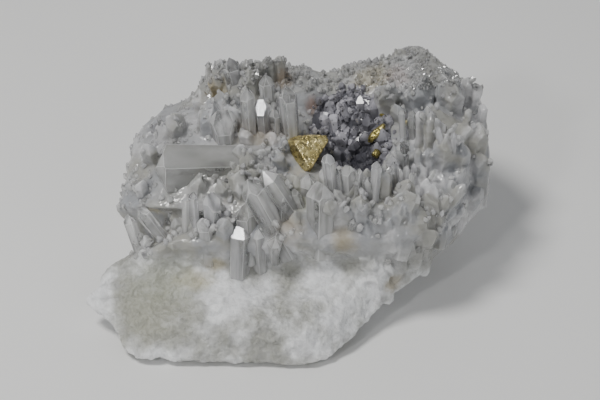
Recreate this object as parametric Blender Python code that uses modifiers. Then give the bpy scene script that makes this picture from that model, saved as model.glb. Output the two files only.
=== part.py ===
"""A quartz specimen with chalcopyrite: a tilted slab of vein quartz, its crystals, and a dark hollow."""

import math
import random

import bmesh
import bpy
from mathutils import Matrix, Vector
from mathutils.bvhtree import BVHTree

MM = 0.001

# How places on the specimen's face are read. An eye looks down on the face from SIGHT_ELEVATION. x runs to
# its right and v up its picture, in millimetres on a plane through MIDDLE, with v = 0 where the front rests.
SIGHT_ELEVATION = math.radians(35.0)
EYE_DISTANCE = 555.0
MIDDLE = Vector((0.0, 5.5, 32.0))
MIDDLE_V = 55.3
RIGHT = Vector((1.0, 0.0, 0.0))
UP = Vector((0.0, math.sin(SIGHT_ELEVATION), math.cos(SIGHT_ELEVATION)))
TOWARD = Vector((0.0, -math.cos(SIGHT_ELEVATION), math.sin(SIGHT_ELEVATION)))
EYE = MIDDLE + EYE_DISTANCE * TOWARD

# The slab leans back, so its underside rises from the front edge to the back.
SLAB_TILT = math.radians(22.0)
SLAB_NORMAL = Vector((0.0, -math.sin(SLAB_TILT), math.cos(SLAB_TILT)))
MIDDLE_THICKNESS = 12.0
SLAB_VIEW = SIGHT_ELEVATION + SLAB_TILT

# The slab's edge, clockwise from the left tip: x, v, and height over the slab's underside plane.
HEART = (0.0, 52.0)
OUTLINE = (
    (-72.3, 21.0, 2.0), (-71.3, 23.7, 3.0), (-68.0, 26.3, 4.0), (-66.7, 29.3, 4.0), (-65.0, 32.7, 5.0),
    (-61.0, 35.0, 5.0), (-58.3, 37.3, 5.0), (-55.7, 38.3, 5.0), (-52.3, 41.0, 6.0), (-48.0, 44.3, 7.0),
    (-46.3, 47.3, 8.0), (-47.0, 50.3, 8.0), (-50.0, 52.0, 8.0), (-61.5, 52.2, 8.0), (-61.0, 54.5, 9.0),
    (-59.0, 58.0, 9.0), (-60.0, 60.5, 9.0), (-57.0, 63.0, 10.0), (-58.7, 67.0, 10.0), (-56.0, 70.5, 10.0),
    (-58.0, 73.0, 10.0), (-56.0, 77.0, 10.0), (-53.0, 81.0, 11.0), (-49.0, 84.5, 11.0), (-44.0, 87.5, 11.0),
    (-39.0, 90.0, 12.0), (-34.5, 93.5, 12.0), (-32.0, 97.0, 12.0), (-30.5, 99.5, 12.0), (-26.5, 101.0, 13.0),
    (-22.0, 101.7, 13.0), (-16.0, 102.0, 13.0), (-8.0, 102.5, 13.0), (-3.0, 101.5, 12.0), (3.0, 100.0, 12.0),
    (8.0, 98.5, 11.0), (12.0, 100.0, 12.0), (17.0, 102.0, 13.0), (24.0, 102.5, 13.0), (29.0, 102.7, 14.0),
    (31.5, 105.5, 15.0), (35.0, 107.5, 16.0), (39.0, 108.2, 16.0), (43.0, 107.0, 16.0), (47.0, 103.5, 16.0),
    (52.0, 99.5, 15.0), (57.0, 95.0, 15.0), (60.5, 91.0, 14.0), (62.3, 86.0, 13.0), (63.3, 80.0, 11.0),
    (63.0, 74.0, 9.0), (63.6, 67.0, 6.0), (64.0, 60.0, 3.0), (62.5, 55.5, 2.0), (58.5, 51.0, 1.0),
    (55.5, 47.0, 1.0), (54.0, 43.0, 1.0), (49.0, 39.5, 1.0), (44.0, 37.0, 1.0), (43.5, 33.0, 2.0),
    (39.0, 30.0, 2.0), (34.0, 27.0, 2.0), (30.0, 23.5, 2.0), (24.0, 18.0, 2.0), (19.0, 13.0, 2.0),
    (15.0, 8.5, 2.0), (10.0, 3.5, 2.0), (3.0, 0.7, 2.0), (-5.0, 0.8, 2.0), (-11.0, 2.7, 3.0),
    (-20.0, 2.3, 3.0), (-28.5, 1.2, 2.0), (-35.0, 3.0, 3.0), (-40.0, 1.7, 2.0), (-46.5, 4.3, 3.0),
    (-53.0, 2.0, 2.0), (-59.0, 6.0, 2.0), (-61.0, 11.0, 2.0), (-63.5, 16.0, 2.0), (-68.0, 19.3, 2.0),
)

# The face inside its edge: a low shelf in front, a step up behind it, and swells and hollows on both.
SHELF_THICKNESS = 8.0
STEP_UP = 9.0
STEP_START, STEP_END = 30.0, 44.0
EDGE_ROUNDING = 0.22
SWELLS = (  # x, v, half width, half height, rise
    (-15.0, 15.0, 40.0, 10.0, 1.5),   # crown of the white shelf
    (-48.0, 24.0, 12.0, 8.0, -2.0),   # dip behind the left tip
    (-32.0, 64.0, 20.0, 9.0, 4.0),    # bed of the great lying crystal
    (-36.0, 48.0, 14.0, 4.5, -4.0),   # groove under it
    (18.0, 52.0, 22.0, 5.0, 6.0),     # crest in front of the hollow
    (16.0, 77.0, 15.0, 12.0, -8.0),   # the hollow
    (19.0, 68.0, 10.0, 4.5, -7.0),    # its deepest part
    (50.0, 70.0, 13.0, 22.0, 6.0),    # right flank
    (38.0, 44.0, 14.0, 8.0, 4.0),     # lower right bulge
    (38.0, 101.0, 9.0, 6.0, 4.0),     # knob at the top right
    (-20.0, 88.0, 14.0, 12.0, 4.0),   # upper left mass
    (-8.0, 78.0, 14.0, 8.0, 4.0),     # bed of the upper prisms
    (-14.0, 46.0, 24.0, 8.0, 4.0),    # bed of the front row
    (30.0, 60.0, 12.0, 8.0, 4.0),     # bed of the crystals right of the hollow
    (6.0, 56.0, 26.0, 7.0, 5.0),      # back of the front row
    (-50.0, 75.0, 10.0, 12.0, -1.5),  # left slope
)

# The rim below the edge: its depth as a share of the slab's there, and how low it comes.
RIM_DEPTH = 0.95
RIM_LOWEST = 1.5

# Underneath, the slab thickens to a foot with a flat base, which it stands on.
FOOT_CENTRE = Vector((-8.0, 0.0))
FOOT_HALF_SIZE = Vector((33.0, 38.0))
FOOT_FROM_EDGE = 0.93
FOOT_LOBES = ((3, 0.06), (5, 0.05), (8, 0.035))
UNDER_CURVE = 1.15
FACE_RINGS, RIM_RINGS, UNDER_RINGS, BASE_RINGS = 12, 2, 4, 2
SKIN_STEP = 1.2
SKIN_KEPT = 0.026

FACE_ROUGHNESS = 0.45
UNDER_ROUGHNESS = 1.3
UNDER_STEEPNESS = -0.1
BASE_MARGIN = 0.6

# Quartz ends in six faces this steep to its cross-section.
TIP_SLOPE = math.radians(51.8)

# How uneven a crystal is: the reach of its sides, and how far each large or small tip face is set back.
SIDE_REACH = (0.88, 1.06)
LARGE_FACE_BACK = (0.0, 0.06)
SMALL_FACE_BACK = (0.06, 0.2)

# The crystals: x and v of the root, x and v of the tip, width, and the angle at which it leans to the eye.
LARGE_CRYSTALS = (
    (-53.7, 39.0, -57.3, 51.0, 4.7, 20),
    (-45.5, 42.0, -53.5, 52.5, 4.8, 15),
    (-37.7, 43.0, -37.0, 57.0, 3.5, 25),
    (-34.7, 43.0, -35.3, 57.5, 3.5, 25),
    (-29.3, 43.0, -29.3, 57.0, 7.0, 25),
    (-30.7, 38.0, -31.7, 49.0, 6.0, 35),
    (-19.7, 31.0, -18.9, 50.4, 9.6, 33),
    (-14.2, 32.0, -14.8, 46.2, 5.4, 38),
    (-16.7, 38.7, -18.0, 53.7, 7.5, 30),
    (-5.3, 40.3, -16.7, 61.5, 9.0, 30),
    (0.0, 47.0, -12.0, 64.7, 7.5, 30),
    (-6.0, 45.0, -5.0, 55.5, 4.6, 35),
    (1.5, 43.7, -4.5, 54.3, 2.4, 25),
    (3.0, 46.0, -2.0, 58.7, 3.2, 25),
    (-8.0, 38.0, -7.7, 44.0, 7.3, 60),
    (7.3, 41.3, 7.7, 60.7, 10.8, 30),
    (2.7, 54.0, 2.7, 63.5, 6.0, 40),
    (11.3, 52.0, 9.0, 69.8, 4.8, 28),
    (13.7, 51.0, 12.0, 65.3, 2.9, 22),
    (16.6, 53.0, 13.7, 65.3, 2.5, 22),
    (16.3, 54.0, 16.0, 66.3, 5.0, 32),
    (18.3, 51.3, 19.7, 65.3, 2.6, 22),
    (21.3, 53.0, 21.0, 63.3, 2.6, 25),
    (17.0, 47.5, 24.0, 58.0, 2.0, 18),
    (24.3, 52.0, 25.3, 67.5, 3.7, 30),
    (24.0, 52.0, 22.4, 62.7, 3.1, 28),
    (28.0, 51.0, 28.0, 66.7, 5.2, 30),
    (32.0, 56.0, 30.2, 69.3, 4.2, 30),
    (34.3, 65.0, 33.7, 74.3, 5.2, 48),
    (32.7, 47.0, 33.3, 57.5, 10.0, 48),
    (25.0, 38.0, 25.0, 46.5, 6.6, 50),
    (28.7, 41.0, 29.0, 49.5, 4.6, 45),
    (33.3, 35.5, 33.3, 43.5, 6.2, 52),
    (37.5, 41.0, 38.0, 48.0, 7.4, 50),
    (41.7, 34.0, 41.3, 44.5, 4.6, 38),
    (37.7, 35.0, 37.0, 43.5, 4.2, 40),
    (24.0, 29.5, 24.3, 36.5, 7.2, 50),
    (30.7, 30.0, 31.3, 36.0, 6.6, 55),
    (16.0, 41.5, 18.0, 50.0, 4.2, 38),
    (20.5, 41.0, 20.0, 48.5, 4.6, 45),
    (48.0, 49.5, 44.5, 61.3, 5.6, 32),
    (49.5, 50.0, 50.5, 62.0, 5.0, 32),
    (47.0, 49.5, 54.5, 60.5, 4.4, 28),
    (58.3, 49.5, 57.0, 60.0, 6.6, 38),
    (60.0, 57.0, 60.0, 71.5, 7.4, 32),
    (57.7, 68.0, 59.0, 81.3, 9.4, 40),
    (60.0, 79.0, 61.0, 87.5, 4.6, 38),
    (57.0, 84.5, 59.3, 93.5, 4.4, 38),
    (53.5, 86.5, 55.8, 96.3, 4.8, 38),
    (54.0, 74.0, 56.0, 86.0, 2.9, 25),
    (48.0, 72.5, 44.7, 82.7, 2.8, 28),
    (42.7, 66.0, 42.7, 84.0, 4.3, 30),
    (39.8, 70.0, 39.6, 84.7, 3.7, 30),
    (37.7, 74.0, 37.0, 85.0, 3.2, 30),
    (34.9, 72.0, 33.7, 85.3, 2.9, 25),
    (40.3, 60.0, 38.7, 72.5, 3.0, 25),
    (43.4, 61.5, 42.0, 72.5, 3.3, 30),
    (47.0, 62.5, 48.3, 77.0, 8.4, 42),
    (52.3, 61.5, 53.3, 74.5, 7.4, 42),
    (29.0, 83.0, 28.7, 94.3, 9.2, 48),
    (39.5, 83.7, 39.2, 95.5, 12.5, 50),
    (50.0, 84.0, 50.3, 95.5, 10.4, 50),
    (34.0, 86.5, 34.7, 94.0, 4.4, 45),
    (-30.0, 93.5, -30.0, 101.0, 3.2, 40),
    (-26.0, 93.5, -26.0, 100.5, 3.5, 40),
    (-20.0, 88.0, -23.5, 102.5, 6.8, 25),
    (-16.5, 91.0, -18.0, 102.5, 4.4, 30),
    (-13.5, 91.0, -13.8, 102.0, 4.4, 30),
    (-10.0, 92.0, -10.5, 103.3, 4.4, 30),
    (-6.5, 92.5, -6.8, 103.8, 4.2, 30),
    (-16.7, 74.7, -17.7, 92.5, 7.2, 33),
    (-12.0, 75.3, -13.0, 88.0, 5.6, 35),
    (-10.0, 82.0, -11.3, 96.5, 5.4, 30),
    (-3.0, 73.0, -4.7, 92.8, 7.6, 28),
    (-8.3, 75.5, -8.8, 85.5, 4.4, 35),
    (-31.7, 74.0, -29.3, 87.3, 9.4, 40),
    (-24.5, 74.0, -25.5, 84.5, 9.6, 45),
    (-41.0, 75.0, -41.5, 84.0, 7.6, 50),
    (-49.0, 66.0, -50.5, 74.0, 6.6, 52),
    (-52.0, 55.5, -53.0, 62.0, 6.0, 55),
)
ROOT_DEPTH = 4.5

# The great lying crystal, which points left and is flatter than it is wide.
LYING_CRYSTAL = (-17.0, 66.5, -48.0, 65.5, 16.5, 10)
LYING_FLATNESS = 0.6
LYING_LIFT = -1.5
LYING_TIP_SLOPE = math.radians(24.0)

# Small crystals that line the back and left edges: the run of outline points that they follow.
EDGE_CRYSTALS = ((14, 28), (33, 39), (40, 50))
EDGE_CRYSTAL_PLACE = (0.9, 0.95)
EDGE_CRYSTAL_WIDTH = (3.4, 5.4)
EDGE_CRYSTAL_LENGTH = (3.0, 4.6)
EDGE_CRYSTAL_ROOT = 2.5
EDGE_CRYSTAL_UPRIGHT = 1.3
EDGE_CRYSTAL_OUTWARD = 0.8

# Beside each crystal a shorter one leans away from it.
COMPANION_FROM_WIDTH = 5.5
COMPANION_WIDTH = (0.7, 1.0)
COMPANION_LENGTH = (0.35, 0.6)
COMPANION_LEAN = 0.45
COMPANION_SIDE = (0.55, 0.8)
COMPANION_BELOW = 1.0
COMPANION_TILT = 12
OUTER_COMPANION = 35.0
HOLLOW_LEFT = -6.0
HOLLOW_FRONT = 50.0

# The crust of small dark crystals in the hollow: x, v, width, length of each.
CRUST_CENTRE = (18.5, 77.0)
CRUST_HALF_SIZE = (12.5, 14.5)
CRUST_THICKNESS = 1.3
CRUST_EDGE = 0.45
CRUST_UNDER = 1.0
CRUST_ROOT = 1.5
CRUST_STRAY = 0.45
CRUST_REACH = (2.0, 1.4)
FLOOR_GAP = 1.5
CRUST_CRYSTALS = (
    (9.3, 84.0, 4.0, 4.5), (13.5, 83.3, 3.6, 4.5), (17.6, 80.0, 3.2, 4.2), (22.0, 78.0, 4.4, 4.6),
    (9.5, 78.5, 4.2, 4.2), (13.5, 78.0, 3.6, 4.2), (17.6, 75.5, 3.2, 4.0), (15.0, 73.5, 3.4, 4.0),
    (18.5, 70.5, 4.4, 4.6), (22.5, 73.0, 3.6, 4.4), (13.0, 68.5, 3.8, 4.0), (13.0, 88.0, 3.4, 4.0),
    (20.0, 86.0, 3.6, 3.8), (28.0, 72.5, 3.4, 4.2),
)
CLEARANCE = 0.4

# Chalcopyrite: the wedge-shaped crystal at the hollow's left, and three grains on the crust.
WEDGE_PLACE = (1.5, 71.3)
WEDGE_BACK_RADIUS = 10.6
WEDGE_FRONT_RADIUS = 9.2
WEDGE_DEPTH = 12.0
WEDGE_RAISED = 3.0
WEDGE_AXIS = TOWARD + RIGHT * 0.2 + UP * 0.2
WEDGE_CUTS = (  # x, y, z of a point on each cut face, and of its direction
    ((7.2, 3.5, 4.0), (0.90, 0.30, 0.30)),
    ((-1.6, 4.6, 4.0), (-0.35, 0.80, 0.50)),
    ((0.6, -7.4, 4.0), (0.25, -0.90, 0.40)),
    ((-3.9, -1.9, 4.0), (-0.75, -0.45, 0.55)),
)
SOCKET_SPREAD = 1.6
GRAINS = (  # name, x, v, half length, half width, turn in the picture, height over the quartz
    ("chalcopyrite_blade", 25.3, 77.3, 4.4, 1.5, 47, 3.6),
    ("chalcopyrite_grain", 25.2, 70.6, 1.7, 1.5, 80, 3.0),
    ("chalcopyrite_bead", 27.4, 84.0, 1.3, 1.0, 20, 0.4),
)

rng = random.Random(7)


def seen(x, v, depth):
    """The point that the eye sees at x, v, this far in front of the plane through MIDDLE."""
    on_plane = x * RIGHT + (v - MIDDLE_V) * UP
    return MIDDLE + on_plane * (1 - depth / EYE_DISTANCE) + depth * TOWARD


def slab_point(x, v, thickness):
    """The point seen at x, v that is this high over the slab's underside plane."""
    depth = (MIDDLE_V - v) / math.tan(SLAB_VIEW) + (thickness - MIDDLE_THICKNESS) / math.sin(SLAB_VIEW)
    return seen(x, v, depth)


def smooth(value):
    value = min(1.0, max(0.0, value))
    return value * value * (3 - 2 * value)


def thickness_inside(x, v):
    total = SHELF_THICKNESS + STEP_UP * smooth((v - STEP_START) / (STEP_END - STEP_START))
    for swell_x, swell_v, wide, high, rise in SWELLS:
        total += rise * math.exp(-((x - swell_x) / wide) ** 2 - ((v - swell_v) / high) ** 2)
    return total


def face_point(edge, share, raised):
    """A point of the face, this share of the way from HEART to a point of the edge."""
    x = HEART[0] + share * (edge[0] - HEART[0])
    v = HEART[1] + share * (edge[1] - HEART[1])
    inward = smooth((1 - share) / EDGE_ROUNDING)
    thickness = edge[2] + inward * (thickness_inside(x, v) - edge[2])
    return slab_point(x, v, thickness + raised)


def body_point(edge, ring, raised):
    """A vertex of the body: its face, then the rim, the underside and the flat base, ring by ring."""
    if ring <= FACE_RINGS:
        return face_point(edge, ring / FACE_RINGS, raised)
    ring -= FACE_RINGS
    top = slab_point(*edge)
    rim = top - SLAB_NORMAL * edge[2] * RIM_DEPTH
    rim.z = max(rim.z, RIM_LOWEST)
    if ring <= RIM_RINGS:
        return top.lerp(rim, ring / RIM_RINGS)
    ring -= RIM_RINGS
    outward = Vector(rim.xy) - FOOT_CENTRE
    bearing = math.atan2(outward.y, outward.x)
    reach = math.hypot(outward.x / FOOT_HALF_SIZE.x, outward.y / FOOT_HALF_SIZE.y)
    reach *= 1 + sum(depth * math.sin(lobes * bearing + lobes) for lobes, depth in FOOT_LOBES)
    foot = FOOT_CENTRE + outward * min(1 / reach, FOOT_FROM_EDGE)
    if ring <= UNDER_RINGS:
        share = 1 - ring / UNDER_RINGS
        across = foot.lerp(Vector(rim.xy), share)
        return Vector((across.x, across.y, rim.z * (1 - (1 - share) ** UNDER_CURVE)))
    ring -= UNDER_RINGS
    across = foot.lerp(FOOT_CENTRE, ring / (BASE_RINGS + 1))
    return Vector((across.x, across.y, 0.0))


def facing_out(bm):
    if bm.calc_volume(signed=True) < 0:
        bmesh.ops.reverse_faces(bm, faces=bm.faces)
    return bm


def body_mesh(raised=0.0):
    """A sphere whose rings are moved to the body's face, rim, underside and base."""
    bands = FACE_RINGS + RIM_RINGS + UNDER_RINGS + BASE_RINGS + 1
    columns = len(OUTLINE)
    bm = bmesh.new()
    bmesh.ops.create_uvsphere(bm, u_segments=columns, v_segments=bands, radius=1.0)
    for vertex in bm.verts:
        ring = round(math.acos(max(-1.0, min(1.0, vertex.co.z))) / math.pi * bands)
        column = round(math.atan2(vertex.co.y, vertex.co.x) / (2 * math.pi) * columns)
        edge = OUTLINE[-column % columns]
        if ring == bands:
            vertex.co = Vector((FOOT_CENTRE.x, FOOT_CENTRE.y, 0.0))
        else:
            vertex.co = body_point(edge, ring, raised)
    return facing_out(bm)


def roughen(bm):
    """Breaks the even surface into lumps, larger ones underneath, and leaves the flat base as it is."""
    for vertex in bm.verts:
        if vertex.co.z > BASE_MARGIN:
            amount = UNDER_ROUGHNESS if vertex.normal.z < UNDER_STEEPNESS else FACE_ROUGHNESS
            vertex.co += Vector([rng.uniform(-amount, amount) for _ in range(3)])
            vertex.co.z = max(vertex.co.z, BASE_MARGIN)


def cut(bm, point, normal):
    """Takes off what lies past a plane, and closes the cut."""
    made = bmesh.ops.bisect_plane(
        bm, geom=bm.verts[:] + bm.edges[:] + bm.faces[:], plane_co=point, plane_no=normal, clear_outer=True
    )
    edges = [item for item in made["geom_cut"] if isinstance(item, bmesh.types.BMEdge)]
    if edges:
        bmesh.ops.contextual_create(bm, geom=edges)


def crystal_mesh(width, length, root, seed, flatness=1.0, tip_slope=TIP_SLOPE):
    """A six-sided crystal along +Z from -root, with uneven sides and three large and three small ends."""
    shape = random.Random(seed)
    bm = bmesh.new()
    bmesh.ops.create_cube(bm, size=2.0)
    bmesh.ops.scale(bm, vec=(width, width, (length + root) / 2), verts=bm.verts)
    bmesh.ops.translate(bm, vec=(0, 0, (length - root) / 2), verts=bm.verts)
    turn = shape.uniform(0, math.pi / 3)
    for side in range(6):
        angle = turn + side * math.pi / 3
        away = Vector((math.cos(angle), math.sin(angle) * flatness, 0.0))
        reach = width / 2 * shape.uniform(*SIDE_REACH) * (1 - (1 - flatness) * abs(math.sin(angle)))
        cut(bm, away.normalized() * reach, away)
        lean = Vector((away.x, away.y, 0)).normalized() * math.sin(tip_slope)
        lean.z = math.cos(tip_slope)
        back = width * shape.uniform(*(LARGE_FACE_BACK if side % 2 else SMALL_FACE_BACK))
        cut(bm, Vector((0, 0, length + back)), lean)
    return bm


def placed(bm, origin, axis, across):
    """Turns a mesh made along +Z to lie along axis, with its +X nearest to across."""
    axis = axis.normalized()
    side = (across - axis * across.dot(axis)).normalized()
    third = axis.cross(side)
    for vertex in bm.verts:
        vertex.co = origin + side * vertex.co.x + third * vertex.co.y + axis * vertex.co.z
    return bm


def joined(meshes, name):
    """One mesh object from several small meshes, in metres."""
    together = bmesh.new()
    for bm in meshes:
        step = bpy.data.meshes.new("step")
        bm.to_mesh(step)
        bm.free()
        together.from_mesh(step)
        bpy.data.meshes.remove(step)
    bmesh.ops.scale(together, vec=(MM, MM, MM), verts=together.verts)
    mesh = bpy.data.meshes.new(name)
    together.to_mesh(mesh)
    together.free()
    return bpy.data.objects.new(name, mesh)


def on_face(tree, x, v):
    """Where the line of sight through x, v meets the bare body, or the body's nearest place to that line."""
    ahead = (seen(x, v, 0.0) - EYE).normalized()
    met = tree.ray_cast(EYE, ahead)[0]
    return met or tree.find_nearest(slab_point(x, v, SHELF_THICKNESS))[0]


def grown(tree, row, seed, grow=0.0, flatness=1.0, lift=0.0, tip_slope=TIP_SLOPE):
    """A crystal that the eye sees between its root and its tip, or a copy of it that is larger all round."""
    x, v, tip_x, tip_v, width, lean = row
    root = on_face(tree, x, v)
    lean = math.radians(lean)
    picture = Vector((tip_x - x, tip_v - v))
    axis = (RIGHT * picture.x + UP * picture.y).normalized() * math.cos(lean) + TOWARD * math.sin(lean)
    length = picture.length / math.cos(lean)
    bm = crystal_mesh(width + 2 * grow, length + grow, ROOT_DEPTH, seed, flatness, tip_slope)
    return placed(bm, root + TOWARD * lift, axis, TOWARD)


def near_hollow(row):
    x, _, _, tip_v, _, _ = row
    wide, high = CRUST_REACH
    beside = abs(x - CRUST_CENTRE[0]) < wide * CRUST_HALF_SIZE[0]
    return beside and tip_v > CRUST_CENTRE[1] - high * CRUST_HALF_SIZE[1]


def has_companion(row):
    """Wide crystals have one, apart from those at the hollow."""
    x, v, _, _, width, _ = row
    return width > COMPANION_FROM_WIDTH and not (x > HOLLOW_LEFT and v > HOLLOW_FRONT)


def companion(tree, row):
    """A shorter crystal at the foot of another, leaning a little its own way."""
    x, v, tip_x, tip_v, width, lean = row
    side = rng.choice((-1, 1)) * width * rng.uniform(*COMPANION_SIDE)
    if abs(x) > OUTER_COMPANION:
        side = -math.copysign(side, x)
    share = rng.uniform(*COMPANION_LENGTH)
    tip_x = x + side * (1 + COMPANION_LEAN) + share * (tip_x - x)
    tip_v = v + share * (tip_v - v)
    width *= rng.uniform(*COMPANION_WIDTH)
    row = (x + side, v - COMPANION_BELOW, tip_x, tip_v, width, lean + COMPANION_TILT)
    return grown(tree, row, rng.random())


def edge_crystals(tree):
    """Short crystals along the rim, pointing up and out."""
    made = []
    for first, last in EDGE_CRYSTALS:
        for index in range(first, last, 2):
            share = rng.uniform(*EDGE_CRYSTAL_PLACE)
            x = HEART[0] + share * (OUTLINE[index][0] - HEART[0])
            v = HEART[1] + share * (OUTLINE[index][1] - HEART[1])
            root = on_face(tree, x, v)
            outward = Vector((x - HEART[0], (v - HEART[1]) * UP.y, 0)).normalized()
            axis = Vector((0, 0, EDGE_CRYSTAL_UPRIGHT)) + outward * EDGE_CRYSTAL_OUTWARD
            width = rng.uniform(*EDGE_CRYSTAL_WIDTH)
            length = rng.uniform(*EDGE_CRYSTAL_LENGTH)
            bm = crystal_mesh(width, length, EDGE_CRYSTAL_ROOT, rng.random())
            made.append(placed(bm, root, axis, RIGHT))
    return made


def crust_meshes(tree):
    """A thin sheet that follows the hollow, and the crystals that stand on it."""
    sheet = bmesh.new()
    bmesh.ops.create_uvsphere(sheet, u_segments=14, v_segments=6, radius=1.0)
    for vertex in sheet.verts:
        place = vertex.co.copy()
        spread = math.hypot(place.x, place.y)
        x = CRUST_CENTRE[0] + CRUST_HALF_SIZE[0] * place.x
        v = CRUST_CENTRE[1] + CRUST_HALF_SIZE[1] * place.y
        ground = on_face(tree, x, v)
        crown = math.sqrt(max(0.0, 1 - spread ** 2))
        lift = FLOOR_GAP + CRUST_THICKNESS * (CRUST_EDGE + (1 - CRUST_EDGE) * crown)
        vertex.co = ground + SLAB_NORMAL * (lift if place.z >= -0.01 else -CRUST_UNDER)
    made = [facing_out(sheet)]
    for x, v, width, length in CRUST_CRYSTALS:
        axis = SLAB_NORMAL + Vector([rng.uniform(-CRUST_STRAY, CRUST_STRAY) for _ in range(3)])
        place = on_face(tree, x, v) + SLAB_NORMAL * FLOOR_GAP
        made.append(placed(crystal_mesh(width, length, CRUST_ROOT, rng.random()), place, axis, RIGHT))
    return made


def wedge_mesh(tree, grow=0.0):
    """The chalcopyrite wedge: a three-sided block that points down the face, its front corners cut off."""
    bm = bmesh.new()
    bmesh.ops.create_cone(
        bm, cap_ends=True, segments=3, radius1=WEDGE_BACK_RADIUS, radius2=WEDGE_FRONT_RADIUS,
        depth=WEDGE_DEPTH, matrix=Matrix.Rotation(math.pi, 4, "Z"),
    )
    for point, direction in WEDGE_CUTS:
        cut(bm, Vector(point), Vector(direction))
    if grow:
        swell(bm, grow)
    return placed(bm, on_face(tree, *WEDGE_PLACE) + TOWARD * WEDGE_RAISED, WEDGE_AXIS, RIGHT)


def grain_mesh(place, half_length, half_width, turn, grow=0.0):
    """A worn grain of many faces, longer than it is wide."""
    bm = bmesh.new()
    bmesh.ops.create_icosphere(bm, subdivisions=1, radius=1.0)
    bmesh.ops.scale(bm, vec=(half_length + grow, half_width + grow, half_width + grow), verts=bm.verts)
    angle = math.radians(turn)
    along = RIGHT * math.cos(angle) + UP * math.sin(angle)
    return placed(bm, place, TOWARD, along)


def swell(bm, amount):
    """Moves every face outwards by about this amount: the corners have further to go than the faces."""
    for vertex in bm.verts:
        vertex.co += vertex.normal * amount * SOCKET_SPREAD


def material(name, colour, roughness, metallic=0.0):
    made = bpy.data.materials.new(name)
    made.use_nodes = True
    shader = made.node_tree.nodes["Principled BSDF"]
    shader.inputs["Base Color"].default_value = (*colour, 1.0)
    shader.inputs["Roughness"].default_value = roughness
    shader.inputs["Metallic"].default_value = metallic
    return made


def boolean(obj, other, operation):
    made = obj.modifiers.new(f"{operation.lower()} {other.name}", "BOOLEAN")
    made.object = other
    made.operation = operation
    made.solver = "EXACT"
    made.use_self = True


def solidify(obj):
    """Applies the modifiers, and fills the tiny voids that crystals shut in where they crowd together."""
    graph = bpy.context.evaluated_depsgraph_get()
    mesh = bpy.data.meshes.new_from_object(obj.evaluated_get(graph))
    obj.modifiers.clear()
    obj.data = mesh
    bm = bmesh.new()
    bm.from_mesh(mesh)
    shells = []
    unseen = set(bm.faces)
    while unseen:
        start = unseen.pop()
        shell, waiting = {start}, [start]
        while waiting:
            for edge in waiting.pop().edges:
                beside = set(edge.link_faces) & unseen
                if len(edge.link_faces) == 2 and beside:
                    unseen -= beside
                    shell |= beside
                    waiting += beside
        shells.append(shell)
    largest = max(shells, key=len)
    bmesh.ops.delete(bm, geom=[face for face in bm.faces if face not in largest], context="FACES")
    bm.to_mesh(mesh)
    bm.free()


def skin_tree(obj):
    """The surface of a solid, in millimetres, for lines of sight to meet."""
    bm = bmesh.new()
    bm.from_mesh(obj.data)
    bmesh.ops.scale(bm, vec=(1 / MM, 1 / MM, 1 / MM), verts=bm.verts)
    return BVHTree.FromBMesh(bm)


def main():
    for old in list(bpy.data.objects):
        bpy.data.objects.remove(old)
    parts = bpy.data.collections.new("quartz_with_chalcopyrite")
    cutters = bpy.data.collections.new("cutters")
    for group in (parts, cutters):
        bpy.context.scene.collection.children.link(group)

    body = body_mesh()
    tree = BVHTree.FromBMesh(body)
    body.normal_update()
    roughen(body)
    crystals = [grown(tree, row, index) for index, row in enumerate(LARGE_CRYSTALS)]
    crystals += [companion(tree, row) for row in LARGE_CRYSTALS if has_companion(row)]
    crystals.append(grown(tree, LYING_CRYSTAL, 3, 0.0, LYING_FLATNESS, LYING_LIFT, LYING_TIP_SLOPE))
    crystals += edge_crystals(tree)

    quartz = joined([body], "quartz")
    grown_on = joined(crystals, "crystals")
    crust = joined(crust_meshes(tree), "hollow_crust")
    floor = joined([body_mesh(FLOOR_GAP)], "raised_face")
    beside = [(index, row) for index, row in enumerate(LARGE_CRYSTALS) if near_hollow(row)]
    crystal_sockets = joined([grown(tree, row, index, CLEARANCE) for index, row in beside], "crystal_sockets")
    for obj in (quartz, crust):
        parts.objects.link(obj)
    for obj in (grown_on, floor, crystal_sockets):
        cutters.objects.link(obj)
    remesh = quartz.modifiers.new("even skin", "REMESH")
    remesh.mode = "VOXEL"
    remesh.voxel_size = SKIN_STEP * MM
    thin = quartz.modifiers.new("broad facets", "DECIMATE")
    thin.ratio = SKIN_KEPT
    boolean(quartz, grown_on, "UNION")
    solidify(quartz)

    skin = skin_tree(quartz)
    metal = [joined([wedge_mesh(tree)], "chalcopyrite_crystal")]
    sockets = [joined([wedge_mesh(tree, CLEARANCE)], "wedge_socket")]
    for name, x, v, half_length, half_width, turn, height in GRAINS:
        shape = (on_face(skin, x, v) + TOWARD * height, half_length, half_width, turn)
        metal.append(joined([grain_mesh(*shape)], name))
        sockets.append(joined([grain_mesh(*shape, CLEARANCE)], name + "_socket"))
    for obj in metal:
        parts.objects.link(obj)
    for obj in sockets:
        cutters.objects.link(obj)
        boolean(quartz, obj, "DIFFERENCE")
        boolean(crust, obj, "DIFFERENCE")
    boolean(crust, floor, "DIFFERENCE")
    boolean(crust, crystal_sockets, "DIFFERENCE")
    for obj in (quartz, crust):
        solidify(obj)
    for obj in cutters.objects:
        obj.hide_render = True
        obj.display_type = "WIRE"

    quartz.data.materials.append(material("milky_quartz", (0.62, 0.63, 0.64), 0.35))
    crust.data.materials.append(material("grey_quartz", (0.22, 0.22, 0.25), 0.3))
    brass = material("chalcopyrite", (0.56, 0.43, 0.12), 0.4, 1.0)
    for obj in metal:
        obj.data.materials.append(brass)


main()
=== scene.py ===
"""Quartz with chalcopyrite: the looks of the white slab, its crystals, its dark hollow and its metal."""

import math
import random

import bpy
import numpy as np
from mathutils import Matrix, Vector
from mathutils.bvhtree import BVHTree


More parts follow.
